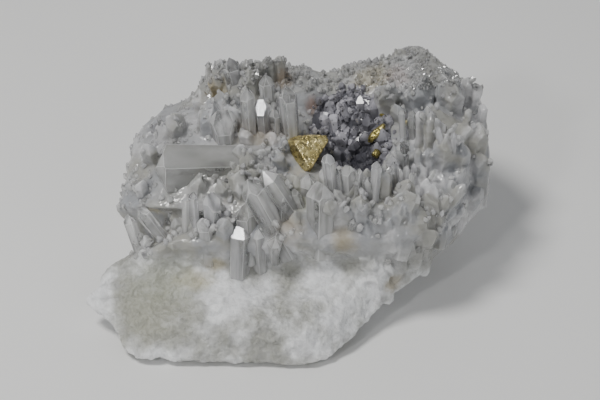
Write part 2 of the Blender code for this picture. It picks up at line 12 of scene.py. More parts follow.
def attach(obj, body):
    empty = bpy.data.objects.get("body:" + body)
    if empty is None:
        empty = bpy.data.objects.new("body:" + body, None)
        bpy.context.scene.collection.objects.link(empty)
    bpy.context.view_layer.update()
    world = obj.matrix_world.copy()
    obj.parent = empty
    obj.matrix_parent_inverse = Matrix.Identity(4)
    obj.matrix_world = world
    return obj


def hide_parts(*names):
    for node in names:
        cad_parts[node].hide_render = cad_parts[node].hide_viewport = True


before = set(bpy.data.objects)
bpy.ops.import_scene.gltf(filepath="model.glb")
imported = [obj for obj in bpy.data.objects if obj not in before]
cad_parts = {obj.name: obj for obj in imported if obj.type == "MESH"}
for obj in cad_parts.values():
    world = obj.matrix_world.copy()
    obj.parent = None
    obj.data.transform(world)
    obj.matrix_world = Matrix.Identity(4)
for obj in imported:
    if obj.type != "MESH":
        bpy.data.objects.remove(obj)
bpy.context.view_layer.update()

MM = 0.001

# How places on the specimen's face are read, as in the solid's source. An eye looks down from
# SIGHT_ELEVATION, and x runs to its right and v up its picture, in millimetres on a plane through MIDDLE.
SIGHT_ELEVATION = math.radians(35.0)
EYE_DISTANCE = 555.0
MIDDLE = Vector((0.0, 5.5, 32.0))
MIDDLE_V = 55.3
RIGHT = Vector((1.0, 0.0, 0.0))
UP = Vector((0.0, math.sin(SIGHT_ELEVATION), math.cos(SIGHT_ELEVATION)))
TOWARD = Vector((0.0, -math.cos(SIGHT_ELEVATION), math.sin(SIGHT_ELEVATION)))
EYE = MIDDLE + EYE_DISTANCE * TOWARD
SLAB_TILT = math.radians(22.0)
SLAB_NORMAL = Vector((0.0, -math.sin(SLAB_TILT), math.cos(SLAB_TILT)))
MIDDLE_THICKNESS = 12.0
SLAB_VIEW = SIGHT_ELEVATION + SLAB_TILT

# The photograph's frame: its width in pixels, and what one pixel spans at MIDDLE.
PICTURE_WIDTH = 600
PIXEL = 1 / 3
SENSOR_WIDTH = 36.0

# The slab's edge, clockwise from the left tip: x, v, and height over the slab's underside plane.
HEART = (0.0, 52.0)
OUTLINE = (
    (-72.3, 21.0, 2.0), (-71.3, 23.7, 3.0), (-68.0, 26.3, 4.0), (-66.7, 29.3, 4.0), (-65.0, 32.7, 5.0),
    (-61.0, 35.0, 5.0), (-58.3, 37.3, 5.0), (-55.7, 38.3, 5.0), (-52.3, 41.0, 6.0), (-48.0, 44.3, 7.0),
    (-46.3, 47.3, 8.0), (-47.0, 50.3, 8.0), (-50.0, 52.0, 8.0), (-61.5, 52.2, 8.0), (-61.0, 54.5, 9.0),
    (-59.0, 58.0, 9.0), (-60.0, 60.5, 9.0), (-57.0, 63.0, 10.0), (-58.7, 67.0, 10.0), (-56.0, 70.5, 10.0),
    (-58.0, 73.0, 10.0), (-56.0, 77.0, 10.0), (-53.0, 81.0, 11.0), (-49.0, 84.5, 11.0), (-44.0, 87.5, 11.0),
    (-39.0, 90.0, 12.0), (-34.5, 93.5, 12.0), (-32.0, 97.0, 12.0), (-30.5, 99.5, 12.0), (-26.5, 101.0, 13.0),
    (-22.0, 101.7, 13.0), (-16.0, 102.0, 13.0), (-8.0, 102.5, 13.0), (-3.0, 101.5, 12.0), (3.0, 100.0, 12.0),
    (8.0, 98.5, 11.0), (12.0, 100.0, 12.0), (17.0, 102.0, 13.0), (24.0, 102.5, 13.0), (29.0, 102.7, 14.0),
    (31.5, 105.5, 15.0), (35.0, 107.5, 16.0), (39.0, 108.2, 16.0), (43.0, 107.0, 16.0), (47.0, 103.5, 16.0),
    (52.0, 99.5, 15.0), (57.0, 95.0, 15.0), (60.5, 91.0, 14.0), (62.3, 86.0, 13.0), (63.3, 80.0, 11.0),
    (63.0, 74.0, 9.0), (63.6, 67.0, 6.0), (64.0, 60.0, 3.0), (62.5, 55.5, 2.0), (58.5, 51.0, 1.0),
    (55.5, 47.0, 1.0), (54.0, 43.0, 1.0), (49.0, 39.5, 1.0), (44.0, 37.0, 1.0), (43.5, 33.0, 2.0),
    (39.0, 30.0, 2.0), (34.0, 27.0, 2.0), (30.0, 23.5, 2.0), (24.0, 18.0, 2.0), (19.0, 13.0, 2.0),
    (15.0, 8.5, 2.0), (10.0, 3.5, 2.0), (3.0, 0.7, 2.0), (-5.0, 0.8, 2.0), (-11.0, 2.7, 3.0),
    (-20.0, 2.3, 3.0), (-28.5, 1.2, 2.0), (-35.0, 3.0, 3.0), (-40.0, 1.7, 2.0), (-46.5, 4.3, 3.0),
    (-53.0, 2.0, 2.0), (-59.0, 6.0, 2.0), (-61.0, 11.0, 2.0), (-63.5, 16.0, 2.0), (-68.0, 19.3, 2.0),
)
SHELF_THICKNESS = 8.0
STEP_UP = 9.0
STEP_START, STEP_END = 30.0, 44.0
EDGE_ROUNDING = 0.22
SWELLS = (  # x, v, half width, half height, rise
    (-15.0, 15.0, 40.0, 10.0, 1.5),
    (-48.0, 24.0, 12.0, 8.0, -2.0),
    (-32.0, 64.0, 20.0, 9.0, 4.0),
    (-36.0, 48.0, 14.0, 4.5, -4.0),
    (18.0, 52.0, 22.0, 5.0, 6.0),
    (16.0, 77.0, 15.0, 12.0, -8.0),
    (19.0, 68.0, 10.0, 4.5, -7.0),
    (50.0, 70.0, 13.0, 22.0, 6.0),
    (38.0, 44.0, 14.0, 8.0, 4.0),
    (38.0, 101.0, 9.0, 6.0, 4.0),
    (-20.0, 88.0, 14.0, 12.0, 4.0),
    (-8.0, 78.0, 14.0, 8.0, 4.0),
    (-14.0, 46.0, 24.0, 8.0, 4.0),
    (30.0, 60.0, 12.0, 8.0, 4.0),
    (6.0, 56.0, 26.0, 7.0, 5.0),
    (-50.0, 75.0, 10.0, 12.0, -1.5),
)
FOOT_CENTRE = Vector((-8.0, 0.0))
FOOT_HALF_SIZE = Vector((33.0, 38.0))
FOOT_FROM_EDGE = 0.93
FOOT_LOBES = ((3, 0.06), (5, 0.05), (8, 0.035))
UNDER_CURVE = 1.15
FACE_RINGS, RIM_RINGS, UNDER_RINGS, BASE_RINGS = 12, 2, 4, 2
FINER = 4  # rings and columns of the finished body between two of these

# The large crystals: x and v of the root, x and v of the tip, width, and the angle of lean to the eye.
LARGE_CRYSTALS = (
    (-53.7, 39.0, -57.3, 51.0, 4.7, 20), (-45.5, 42.0, -53.5, 52.5, 4.8, 15),
    (-37.7, 43.0, -37.0, 57.0, 3.5, 25), (-34.7, 43.0, -35.3, 57.5, 3.5, 25),
    (-29.3, 43.0, -29.3, 57.0, 7.0, 25), (-30.7, 38.0, -31.7, 49.0, 6.0, 35),
    (-20.6, 34.4, -19.7, 49.3, 11.0, 33), (-13.6, 34.4, -14.4, 46.2, 6.6, 38),
    (-16.7, 38.7, -18.0, 53.7, 7.5, 30), (-5.3, 40.3, -16.7, 61.5, 9.0, 30),
    (0.0, 47.0, -12.0, 64.7, 7.5, 30), (-6.0, 45.0, -5.0, 55.5, 4.6, 35),
    (1.5, 43.7, -4.5, 54.3, 2.4, 25), (3.0, 46.0, -2.0, 58.7, 3.2, 25), (-8.0, 38.0, -7.7, 44.0, 7.3, 60),
    (7.3, 41.3, 7.7, 60.7, 10.8, 30), (2.7, 54.0, 2.7, 63.5, 6.0, 40), (11.3, 52.0, 9.0, 69.8, 4.8, 28),
    (13.7, 51.0, 12.0, 65.3, 2.9, 22), (16.6, 53.0, 13.7, 65.3, 2.5, 22),
    (16.3, 54.0, 16.0, 66.3, 5.0, 32), (18.3, 51.3, 19.7, 65.3, 2.6, 22),
    (21.3, 53.0, 21.0, 63.3, 2.6, 25), (17.0, 47.5, 24.0, 58.0, 2.0, 18),
    (24.3, 52.0, 25.3, 67.5, 3.7, 30), (24.0, 52.0, 22.4, 62.7, 3.1, 28),
    (28.0, 51.0, 28.0, 66.7, 5.2, 30), (32.0, 56.0, 30.2, 69.3, 4.2, 30),
    (34.3, 65.0, 33.7, 74.3, 5.2, 48), (32.7, 47.0, 33.3, 57.5, 10.0, 48),
    (25.0, 38.0, 25.0, 46.5, 6.6, 50), (28.7, 41.0, 29.0, 49.5, 4.6, 45),
    (33.3, 35.5, 33.3, 43.5, 6.2, 52), (37.5, 41.0, 38.0, 48.0, 7.4, 50),
    (41.7, 34.0, 41.3, 44.5, 4.6, 38), (37.7, 35.0, 37.0, 43.5, 4.2, 40),
    (24.0, 29.5, 24.3, 36.5, 7.2, 50), (30.7, 30.0, 31.3, 36.0, 6.6, 55),
    (16.0, 41.5, 18.0, 50.0, 4.2, 38), (20.5, 41.0, 20.0, 48.5, 4.6, 45),
    (48.0, 49.5, 44.5, 61.3, 5.6, 32), (49.5, 50.0, 50.5, 62.0, 5.0, 32),
    (47.0, 49.5, 54.5, 60.5, 4.4, 28), (58.3, 49.5, 57.0, 60.0, 6.6, 38),
    (60.0, 57.0, 60.0, 71.5, 7.4, 32), (57.7, 68.0, 59.0, 81.3, 9.4, 40),
    (60.0, 79.0, 61.0, 87.5, 4.6, 38), (57.0, 84.5, 59.3, 93.5, 4.4, 38),
    (53.5, 86.5, 55.8, 96.3, 4.8, 38), (54.0, 74.0, 56.0, 86.0, 2.9, 25),
    (48.0, 72.5, 44.7, 82.7, 2.8, 28), (42.7, 66.0, 42.7, 84.0, 4.3, 30),
    (39.8, 70.0, 39.6, 84.7, 3.7, 30), (37.7, 74.0, 37.0, 85.0, 3.2, 30),
    (34.9, 72.0, 33.7, 85.3, 2.9, 25), (40.3, 60.0, 38.7, 72.5, 3.0, 25),
    (43.4, 61.5, 42.0, 72.5, 3.3, 30), (47.0, 62.5, 48.3, 77.0, 8.4, 42),
    (52.3, 61.5, 53.3, 74.5, 7.4, 42), (29.0, 83.0, 28.7, 94.3, 9.2, 48),
    (39.5, 83.7, 39.2, 95.5, 12.5, 50), (50.0, 84.0, 50.3, 95.5, 10.4, 50),
    (34.0, 86.5, 34.7, 94.0, 4.4, 45), (-30.0, 93.5, -30.0, 101.0, 3.2, 40),
    (-26.0, 93.5, -26.0, 100.5, 3.5, 40), (-20.0, 88.0, -23.5, 102.5, 6.8, 25),
    (-16.5, 91.0, -18.0, 102.5, 4.4, 30), (-13.5, 91.0, -13.8, 102.0, 4.4, 30),
    (-10.0, 92.0, -10.5, 103.3, 4.4, 30), (-6.5, 92.5, -6.8, 103.8, 4.2, 30),
    (-16.7, 74.7, -17.7, 92.5, 7.2, 33), (-12.0, 75.3, -13.0, 88.0, 5.6, 35),
    (-10.0, 82.0, -11.3, 96.5, 5.4, 30), (-3.0, 73.0, -4.7, 92.8, 7.6, 28),
    (-8.3, 75.5, -8.8, 85.5, 4.4, 35), (-31.7, 74.0, -29.3, 87.3, 9.4, 40),
    (-24.5, 74.0, -25.5, 84.5, 9.6, 45), (-41.0, 75.0, -41.5, 84.0, 7.6, 50),
    (-49.0, 66.0, -50.5, 74.0, 6.6, 52), (-52.0, 55.5, -53.0, 62.0, 6.0, 55),
)
LYING_CRYSTAL = (-17.0, 66.5, -48.0, 65.5, 16.5, 10)

# Where the quartz is one milky mass and its crystals are half sunk and rounded: x, v, half width and
# half height.
SOFT_ZONES = (
    (-45.8, 79.0, 22.0, 18.0), (-54.0, 58.0, 10.0, 9.0), (-28.0, 83.0, 9.0, 9.0), (54.0, 62.0, 18.0, 22.0),
    (33.0, 39.0, 15.0, 15.0), (43.0, 89.0, 24.0, 12.0), (-5.0, 98.0, 36.0, 9.0),
)

# Medium crystals that fill the ground between the great ones: x, v, half width, half height, count, widths,
# length over width.
FILL = (
    (-41.7, 81.3, 20.0, 15.0, 25, (5.0, 10.0), 0.5), (-54.2, 60.4, 9.0, 12.0, 20, (3.1, 6.3), 0.6),
    (0.0, 100.0, 34.0, 8.0, 80, (2.6, 5.7), 0.7), (41.7, 101.1, 16.0, 10.0, 30, (3.1, 6.3), 0.5),
    (54.2, 75.0, 12.0, 24.0, 30, (5.0, 11.0), 0.8), (37.5, 68.8, 14.0, 16.0, 45, (3.0, 6.5), 1.6),
    (-10.4, 62.5, 14.0, 12.0, 50, (3.1, 7.3), 1.6), (-18.8, 49.0, 24.0, 9.0, 50, (3.1, 7.3), 1.4),
    (18.8, 52.1, 20.0, 9.0, 50, (3.1, 7.3), 1.6), (34.4, 37.5, 14.0, 12.0, 40, (4.2, 8.3), 1.0),
    (-46.9, 43.8, 14.0, 7.0, 25, (3.1, 6.3), 1.0), (-18.8, 83.4, 14.0, 10.0, 60, (3.1, 7.3), 1.6),
    (50.0, 47.9, 12.0, 10.0, 25, (4.2, 8.3), 1.0),
)
FILL_REACH = 0.93

# Milky quartz over the crystals' roots: its height, how fast it fades towards the shelf and the hollow, and
# the ledge at the centre crystal's foot (x, v, half width, half height, share of the height).
OVERGROWTH = 3.0
SHELF_FADE = 6.0
HOLLOW_CLEAR, HOLLOW_FADE = 0.9, 0.4
LEDGE = (8.0, 40.0, 10.0, 3.5, 1.5)

# The milky core of a glassy crystal, as shares of its width and length.
CORE_WIDTH = 0.5
CORE_LENGTH = 0.6

# How far a great crystal is set back into the ground, as a share of its width, and its root's length in mm.
SET_BACK = 0.12
SOFT_SET_BACK = 0.4
GREAT_ROOT = 4.5
SPIN_STEP = 1.3  # turn about its axis, from each great crystal to the next

# The larger of the clear twins in front, and its turn about its axis: one face of its tip mirrors a lamp.
TWIN = 6
TWIN_SPIN = 0.04

# How much a root narrows, how much a crystal's streaks are stretched along it, and how wide its worn edges
# are, as shares of its width.
ROOT_TAPER = 0.8
GRAIN_STRETCH = 0.12
WORN_EDGE = 0.02

# The massive quartz's skin: its grid in millimetres, and its triangles at the end.
SKIN_STEP = 0.42
SKIN_TRIANGLES = 185000

# Beds of small crystals: x, v, half width, half height, widths, length over width, crystals per square mm.
BEDS = (
    (-41.7, 81.3, 20.0, 15.0, (1.0, 2.7), 0.5, 0.10), (-54.2, 62.5, 9.0, 13.0, (1.0, 2.5), 0.6, 0.12),
    (0.0, 100.0, 38.0, 9.0, (0.9, 2.3), 0.7, 0.40), (41.7, 102.1, 17.0, 10.0, (0.6, 1.6), 0.6, 0.70),
    (59.4, 77.1, 9.0, 24.0, (1.3, 2.9), 0.8, 0.02), (41.7, 72.9, 12.0, 14.0, (1.3, 2.4), 2.4, 0.05),
    (-11.5, 62.5, 11.0, 14.0, (1.3, 2.7), 1.4, 0.09), (-8.3, 50.0, 28.0, 10.0, (1.3, 2.7), 1.2, 0.07),
    (34.4, 37.5, 15.0, 12.0, (1.7, 3.5), 0.7, 0.02), (-44.8, 43.8, 14.0, 8.0, (1.0, 2.5), 0.9, 0.10),
    (-3.1, 68.8, 5.0, 6.0, (0.9, 2.0), 1.4, 0.50),
)
PLAIN_BED = (0.0, 0.0, 1.0, 1.0, (1.1, 2.6), 0.8, 0.08)
SHELF_LINE = (
    (-75.0, 33.0), (-57.0, 36.0), (-32.0, 34.0), (-20.0, 31.0), (0.0, 38.5), (14.0, 38.5), (22.0, 31.0),
    (28.0, 25.0), (45.0, 22.0),
)

# The hollow: its place, its great dark crystals (x, v, width), and how many small ones lie between them.
HOLLOW = (17.0, 77.5, 15.0, 15.5)
HOLLOW_GREAT = (
    (9.7, 87.5, 4.0), (14.1, 87.0, 3.6), (18.3, 83.4, 3.4), (22.9, 81.8, 4.4), (18.3, 79.2, 3.4),
    (15.6, 79.7, 3.2), (10.9, 82.8, 4.4), (13.5, 76.1, 5.0), (17.7, 74.0, 5.0), (21.9, 76.6, 4.6),
    (20.8, 70.3, 5.0), (25.5, 73.5, 5.0), (27.6, 77.1, 5.5), (12.5, 70.9, 4.6), (25.0, 86.5, 4.6),
    (7.8, 82.8, 4.6), (20.3, 89.1, 4.0), (29.2, 69.3, 4.0),
)
HOLLOW_CRYSTALS = 420
# The hollow's darkest part is painted shade.
HOLLOW_SHADE = ((20.0, 68.0, 10.0), (10.0, 7.0, 8.0))  # x, v and height, and half sizes, of its darkest part

# Where no small crystal hides what stands behind: x, v, half width, half height.
IN_VIEW = ((1.5, 67.3, 8.5, 9.0), (-18.0, 36.0, 6.5, 11.0), (7.5, 44.0, 7.0, 6.0))

# The chalcopyrite wedge, as in the solid's source.
WEDGE_PLACE = (1.5, 71.3)
WEDGE_BACK_RADIUS = 10.6
WEDGE_FRONT_RADIUS = 9.2
WEDGE_DEPTH = 12.0
WEDGE_RAISED = 3.0
WEDGE_AXIS = TOWARD + RIGHT * 0.2 + UP * 0.2
WEDGE_CUTS = (  # x, y, z of a point on each cut face, and of its direction
    ((7.2, 3.5, 4.0), (0.90, 0.30, 0.30)),
    ((-1.6, 4.6, 4.0), (-0.35, 0.80, 0.50)),
    ((0.6, -7.4, 4.0), (0.25, -0.90, 0.40)),
    ((-3.9, -1.9, 4.0), (-0.75, -0.45, 0.55)),
)
GRAINS = (  # name, x, v, half length, half width, turn in the picture, height over the quartz
    ("chalcopyrite_blade", 25.3, 77.3, 4.4, 1.5, 47, 4.4),
    ("chalcopyrite_grain", 25.2, 70.6, 1.7, 1.5, 80, 3.0),
    ("chalcopyrite_bead", 27.4, 84.0, 1.3, 1.0, 20, 0.9),
)

# Stains in the quartz, and grey patches that darken it; the grey patch at x 33, v 38 is painted shade on the
# shadow side at the lower right.
STAINS_AND_SHADE = (  # x, v, height over the underside plane, half sizes in mm, blur, strength, colour
    (-30.0, 91.2, 22.0, (7.3, 7.3, 5.0), 0.5, 0.55, (0.4, 0.3, 0.09)),
    (-24.0, 84.9, 22.0, (3.1, 4.2, 3.0), 0.5, 0.45, (0.4, 0.3, 0.10)),
    (-5.7, 96.4, 18.0, (3.1, 6.3, 5.0), 0.5, 0.45, (0.5, 0.3, 0.12)),
    (24.0, 96.4, 18.0, (6.3, 6.3, 5.0), 0.5, 0.45, (0.6, 0.5, 0.24)),
    (32.3, 96.9, 20.0, (4.2, 4.2, 4.0), 0.5, 0.30, (0.6, 0.4, 0.36)),
    (-47.9, 55.2, 12.0, (4.2, 4.2, 4.0), 0.5, 0.50, (0.5, 0.4, 0.12)),
    (-36.5, 28.7, 9.0, (6.3, 3.6, 3.0), 0.5, 0.45, (0.5, 0.4, 0.14)),
    (-28.1, 34.4, 11.0, (3.6, 2.6, 3.0), 0.5, 0.40, (0.5, 0.4, 0.16)),
    (14.6, 42.2, 20.0, (4.7, 4.2, 4.0), 0.5, 0.50, (0.38, 0.30, 0.13)),
    (31.3, 27.6, 5.0, (6.3, 3.1, 3.0), 0.5, 0.50, (0.4, 0.3, 0.10)),
    (-50.0, 17.0, 6.0, (12.0, 12.0, 6.0), 0.7, 0.60, (0.38, 0.38, 0.30)),
    (-4.2, 45.8, 22.0, (5.2, 4.2, 5.0), 0.6, 0.45, (0.5, 0.4, 0.24)),
    (-13.5, 78.2, 24.0, (8.3, 5.2, 5.0), 0.6, 0.35, (0.5, 0.4, 0.30)),
    (2.1, 55.2, 25.0, (9.4, 5.2, 6.0), 0.6, 0.35, (0.5, 0.5, 0.33)),
    (3.1, 86.5, 16.0, (3.1, 3.6, 3.0), 0.5, 0.50, (0.4, 0.2, 0.12)),
    (-33.0, 65.5, 27.0, (17.0, 10.0, 12.0), 0.4, 0.45, (0.40, 0.40, 0.37)),
    (-44.0, 29.0, 8.0, (12.0, 9.0, 6.0), 0.6, 0.65, (0.38, 0.39, 0.31)),
    (-44.0, 79.0, 16.0, (14.0, 12.0, 8.0), 0.6, 0.45, (0.38, 0.38, 0.39)),
    # Painted shade: the shadow side at the lower right, darkened to grey.
    (33.0, 38.0, 12.0, (13.0, 9.0, 10.0), 0.6, 0.65, (0.34, 0.34, 0.33)),
)

rng = random.Random(11)


# Places on the specimen

def seen(x, v, depth):
    """The point that the eye sees at x, v, this far in front of the plane through MIDDLE."""
    on_plane = x * RIGHT + (v - MIDDLE_V) * UP
    return MIDDLE + on_plane * (1 - depth / EYE_DISTANCE) + depth * TOWARD


def picture_place(point):
    """x and v of a point in millimetres."""
    offset = Vector(point) - MIDDLE
    depth = offset.dot(TOWARD)
    scale = EYE_DISTANCE / (EYE_DISTANCE - depth)
    return offset.dot(RIGHT) * scale, offset.dot(UP) * scale + MIDDLE_V


def slab_point(x, v, thickness):
    """The point seen at x, v that is this high over the slab's underside plane."""
    depth = (MIDDLE_V - v) / math.tan(SLAB_VIEW) + (thickness - MIDDLE_THICKNESS) / math.sin(SLAB_VIEW)
    return seen(x, v, depth)


def smooth(value):
    value = min(1.0, max(0.0, value))
    return value * value * (3 - 2 * value)


def thickness_inside(x, v):
    total = SHELF_THICKNESS + STEP_UP * smooth((v - STEP_START) / (STEP_END - STEP_START))
    for swell_x, swell_v, wide, high, rise in SWELLS:
        total += rise * math.exp(-((x - swell_x) / wide) ** 2 - ((v - swell_v) / high) ** 2)
    return total


def overgrowth(x, v):
    """How much of the milky quartz lies between and over the crystals' roots: 1 is all of OVERGROWTH."""
    past_shelf = smooth((v - shelf_line(x)) / SHELF_FADE)
    reach = math.hypot((x - HOLLOW[0]) / HOLLOW[2], (v - HOLLOW[1]) / HOLLOW[3])
    ledge_x, ledge_v, wide, high, rise = LEDGE
    ledge = rise * math.exp(-((x - ledge_x) / wide) ** 2 - ((v - ledge_v) / high) ** 2)
    return past_shelf * smooth((reach - HOLLOW_CLEAR) / HOLLOW_FADE) + ledge


def face_point(edge, share, raised):
    x = HEART[0] + share * (edge[0] - HEART[0])
    v = HEART[1] + share * (edge[1] - HEART[1])
    inward = smooth((1 - share) / EDGE_ROUNDING)
    thickness = thickness_inside(x, v) + raised * overgrowth(x, v)
    return slab_point(x, v, edge[2] + inward * (thickness - edge[2]))


def body_point(edge, ring, raised):
    """A vertex of the body: its face, then the rim, the underside and the flat base, ring by ring."""
    if ring <= FACE_RINGS:
        return face_point(edge, ring / FACE_RINGS, raised)
    ring -= FACE_RINGS
    top = slab_point(*edge)
    rim = top - SLAB_NORMAL * edge[2] * 0.95
    rim.z = max(rim.z, 1.5)
    if ring <= RIM_RINGS:
        return top.lerp(rim, ring / RIM_RINGS)
    ring -= RIM_RINGS
    outward = Vector(rim.xy) - FOOT_CENTRE
    bearing = math.atan2(outward.y, outward.x)
    reach = math.hypot(outward.x / FOOT_HALF_SIZE.x, outward.y / FOOT_HALF_SIZE.y)
    reach *= 1 + sum(depth * math.sin(lobes * bearing + lobes) for lobes, depth in FOOT_LOBES)
    foot = FOOT_CENTRE + outward * min(1 / reach, FOOT_FROM_EDGE)
    if ring <= UNDER_RINGS:
        share = 1 - ring / UNDER_RINGS
        across = foot.lerp(Vector(rim.xy), share)
        return Vector((across.x, across.y, rim.z * (1 - (1 - share) ** UNDER_CURVE)))
    ring -= UNDER_RINGS
    across = foot.lerp(FOOT_CENTRE, ring / (BASE_RINGS + 1))
    return Vector((across.x, across.y, 0.0))


def shelf_line(x):
    """v where the bare white shelf ends and the crystals begin."""
    for (x0, v0), (x1, v1) in zip(SHELF_LINE, SHELF_LINE[1:]):
        if x0 <= x <= x1:
            return v0 + (v1 - v0) * (x - x0) / (x1 - x0)
    return SHELF_LINE[-1][1]


# Modelling helpers

def deselect():
    if bpy.context.mode != "OBJECT":
        bpy.ops.object.mode_set(mode="OBJECT")
    bpy.ops.object.select_all(action="DESELECT")


def named(name):
    """The primitive just added, under its own name and alone selected."""
    piece = bpy.context.active_object
    piece.name = name
    piece.data.name = name
    return piece


def pick(piece):
    deselect()
    piece.select_set(True)
    bpy.context.view_layer.objects.active = piece


def apply_modifiers(piece):
    pick(piece)
    for modifier in list(piece.modifiers):
        bpy.ops.object.modifier_apply(modifier=modifier.name)


def add_modifier(piece, name, kind, **settings):
    made = piece.modifiers.new(name, kind)
    for key, value in settings.items():
        setattr(made, key, value)


def texture(name, kind, **settings):
    made = bpy.data.textures.new(name, kind)
    for key, value in settings.items():
        setattr(made, key, value)
    return made


def bisect(point, normal):
    bpy.ops.mesh.select_all(action="SELECT")
    bpy.ops.mesh.bisect(plane_co=point, plane_no=normal, use_fill=True, clear_outer=True)


def face_out(piece):
    pick(piece)
    bpy.ops.object.mode_set(mode="EDIT")
    bpy.ops.mesh.select_all(action="SELECT")
    bpy.ops.mesh.normals_make_consistent(inside=False)
    bpy.ops.object.mode_set(mode="OBJECT")


def in_order(piece):
    """Writes a piece's faces in a fixed order, because a primitive's own can change from run to run."""
    mesh = piece.data
    points = [vertex.co[:] for vertex in mesh.vertices]
    faces = []
    for polygon in mesh.polygons:
        corners = list(polygon.vertices)
        first = corners.index(min(corners))
        faces.append(corners[first:] + corners[:first])
    mesh.clear_geometry()
    mesh.from_pydata(points, [], sorted(faces))


# The slab

def spline_weights(share):
    """How much each of four points in a row counts, this share of the way from the second to the third."""
    return (
        (1 - share) ** 3 / 6, (3 * share ** 3 - 6 * share ** 2 + 4) / 6,
        (1 + 3 * share + 3 * share ** 2 - 3 * share ** 3) / 6, share ** 3 / 6,
    )


def body_grid(bands, raised):
    """The body's points by ring and place in OUTLINE, with one more ring past each pole."""
    rings = [[body_point(edge, ring, raised)[:] for edge in OUTLINE] for ring in range(bands)]
    rings.append([(FOOT_CENTRE.x, FOOT_CENTRE.y, 0.0)] * len(OUTLINE))
    grid = np.array(rings)
    return np.concatenate((2 * grid[:1] - grid[1:2], grid, 2 * grid[-1:] - grid[-2:-1]))


def add_body(raised=0.0):
    """The massive quartz: a sphere's rings moved to the slab's face, rim, underside and base."""
    bands = FACE_RINGS + RIM_RINGS + UNDER_RINGS + BASE_RINGS + 1
    columns = len(OUTLINE)
    grid = body_grid(bands, raised)
    deselect()
    bpy.ops.mesh.primitive_uv_sphere_add(segments=columns * FINER, ring_count=bands * FINER, radius=1.0)
    mass = named("quartz_mass")
    points = np.empty(len(mass.data.vertices) * 3)
    mass.data.vertices.foreach_get("co", points)
    points = points.reshape(-1, 3)
    down = np.round(np.arccos(np.clip(points[:, 2], -1.0, 1.0)) / math.pi * bands * FINER) / FINER
    along = np.round(np.arctan2(points[:, 1], points[:, 0]) / (2 * math.pi) * columns * FINER) / FINER
    ring = np.minimum(np.floor(down), bands - 1).astype(int)
    column = np.floor(along).astype(int)
    places = np.zeros_like(points)
    for i, ring_weight in enumerate(spline_weights(down - ring)):
        for j, column_weight in enumerate(spline_weights(along - column)):
            places += (ring_weight * column_weight)[:, None] * grid[ring + i, (1 - column - j) % columns]
    mass.data.vertices.foreach_set("co", (places * MM).ravel())
    face_out(mass)
    in_order(mass)
    lumps = texture("broken lumps", "CLOUDS", noise_scale=0.011, noise_depth=2)
    add_modifier(mass, "lumps", "DISPLACE", texture=lumps, strength=2.4 * MM, mid_level=0.5)
    apply_modifiers(mass)
    return mass


def grow_together(mass, sunk):
    """Joins the half-sunk crystals to the massive quartz as one skin, and chips its surface."""
    pick(sunk)
    mass.select_set(True)
    bpy.context.view_layer.objects.active = mass
    bpy.ops.object.join()
    add_modifier(mass, "one skin", "REMESH", mode="VOXEL", voxel_size=SKIN_STEP * MM)
    apply_modifiers(mass)
    mark_ground(mass)
    facets = texture("small facets", "VORONOI", noise_scale=0.0042, distance_metric="MANHATTAN")
    add_modifier(
        mass, "facets", "DISPLACE", texture=facets, strength=-0.35 * MM, mid_level=0.5,
        vertex_group="crystal ground",
    )
    rubble = texture("rubble", "CLOUDS", noise_scale=0.0032, noise_depth=3)
    add_modifier(
        mass, "rubble", "DISPLACE", texture=rubble, strength=1.7 * MM, mid_level=0.5, vertex_group="shelf",
    )
    apply_modifiers(mass)
    add_modifier(mass, "flat facets", "DECIMATE", ratio=SKIN_TRIANGLES / (2 * len(mass.data.polygons)))
    apply_modifiers(mass)
    flatten_base(mass)


def mark_ground(mass):
    """Two vertex groups: the ground of the crystals, and the bare shelf with the rest."""
    points = np.empty(len(mass.data.vertices) * 3)
    mass.data.vertices.foreach_get("co", points)
    offset = points.reshape(-1, 3) / MM - np.array(MIDDLE[:])
    scale = EYE_DISTANCE / (EYE_DISTANCE - offset @ np.array(TOWARD[:]))
    across = offset[:, 0] * scale
    up = offset @ np.array(UP[:]) * scale + MIDDLE_V
    line = np.interp(across, [x for x, _ in SHELF_LINE], [v for _, v in SHELF_LINE])
    share = np.clip((up - line) / 5.0, 0.0, 1.0)
    for name, weights in (("crystal ground", share), ("shelf", 1.0 - share)):
        group = mass.vertex_groups.new(name=name)
        for level in range(1, 11):
            chosen = np.nonzero(np.round(weights * 10) == level)[0]
            group.add(chosen.tolist(), level / 10, "REPLACE")


def flatten_base(piece):
    """Keeps the break that the specimen stands on flat, at the height of the surface under it."""
    points = np.empty(len(piece.data.vertices) * 3)
    piece.data.vertices.foreach_get("co", points)
    points = points.reshape(-1, 3)
    points[:, 2] = np.maximum(points[:, 2], 0.0)
    piece.data.vertices.foreach_set("co", points.ravel())
    piece.data.update()


# Crystals

PRISM_HALF = 0.5
ROOT_LEVEL = -4.0
TIP_SLOPE = math.radians(51.8)
LYING_TIP_SLOPE = math.radians(24.0)
LYING_PATTERN = 8
LYING_WEAR = 0.4
CORNER_AREA, STRIP_AREA = 0.012, 0.16  # the largest worn corner and worn strip of a crystal a unit wide
FLAT_TOP = 0.9
STYLES = (  # how far each of the six tip faces is set back, in widths
    (0.00, 0.10, 0.02, 0.14, 0.00, 0.12),
    (0.02, 0.22, 0.00, 0.18, 0.04, 0.26),
    (0.00, 0.05, 0.03, 0.02, 0.06, 0.04),
    (-0.12, 0.16, 0.08, 0.20, 0.10, 0.14),
    (-0.16, 0.12, 0.20, 0.00, 0.16, 0.12),
    (0.00, 0.30, 0.02, 0.24, 0.00, 0.30),
    (-0.06, 0.04, 0.12, -0.06, 0.06, 0.14),
    (-0.22, 0.10, 0.24, 0.16, 0.22, 0.08),
    (0.00, 0.04, 0.10, 0.00, 0.06, 0.08),
)
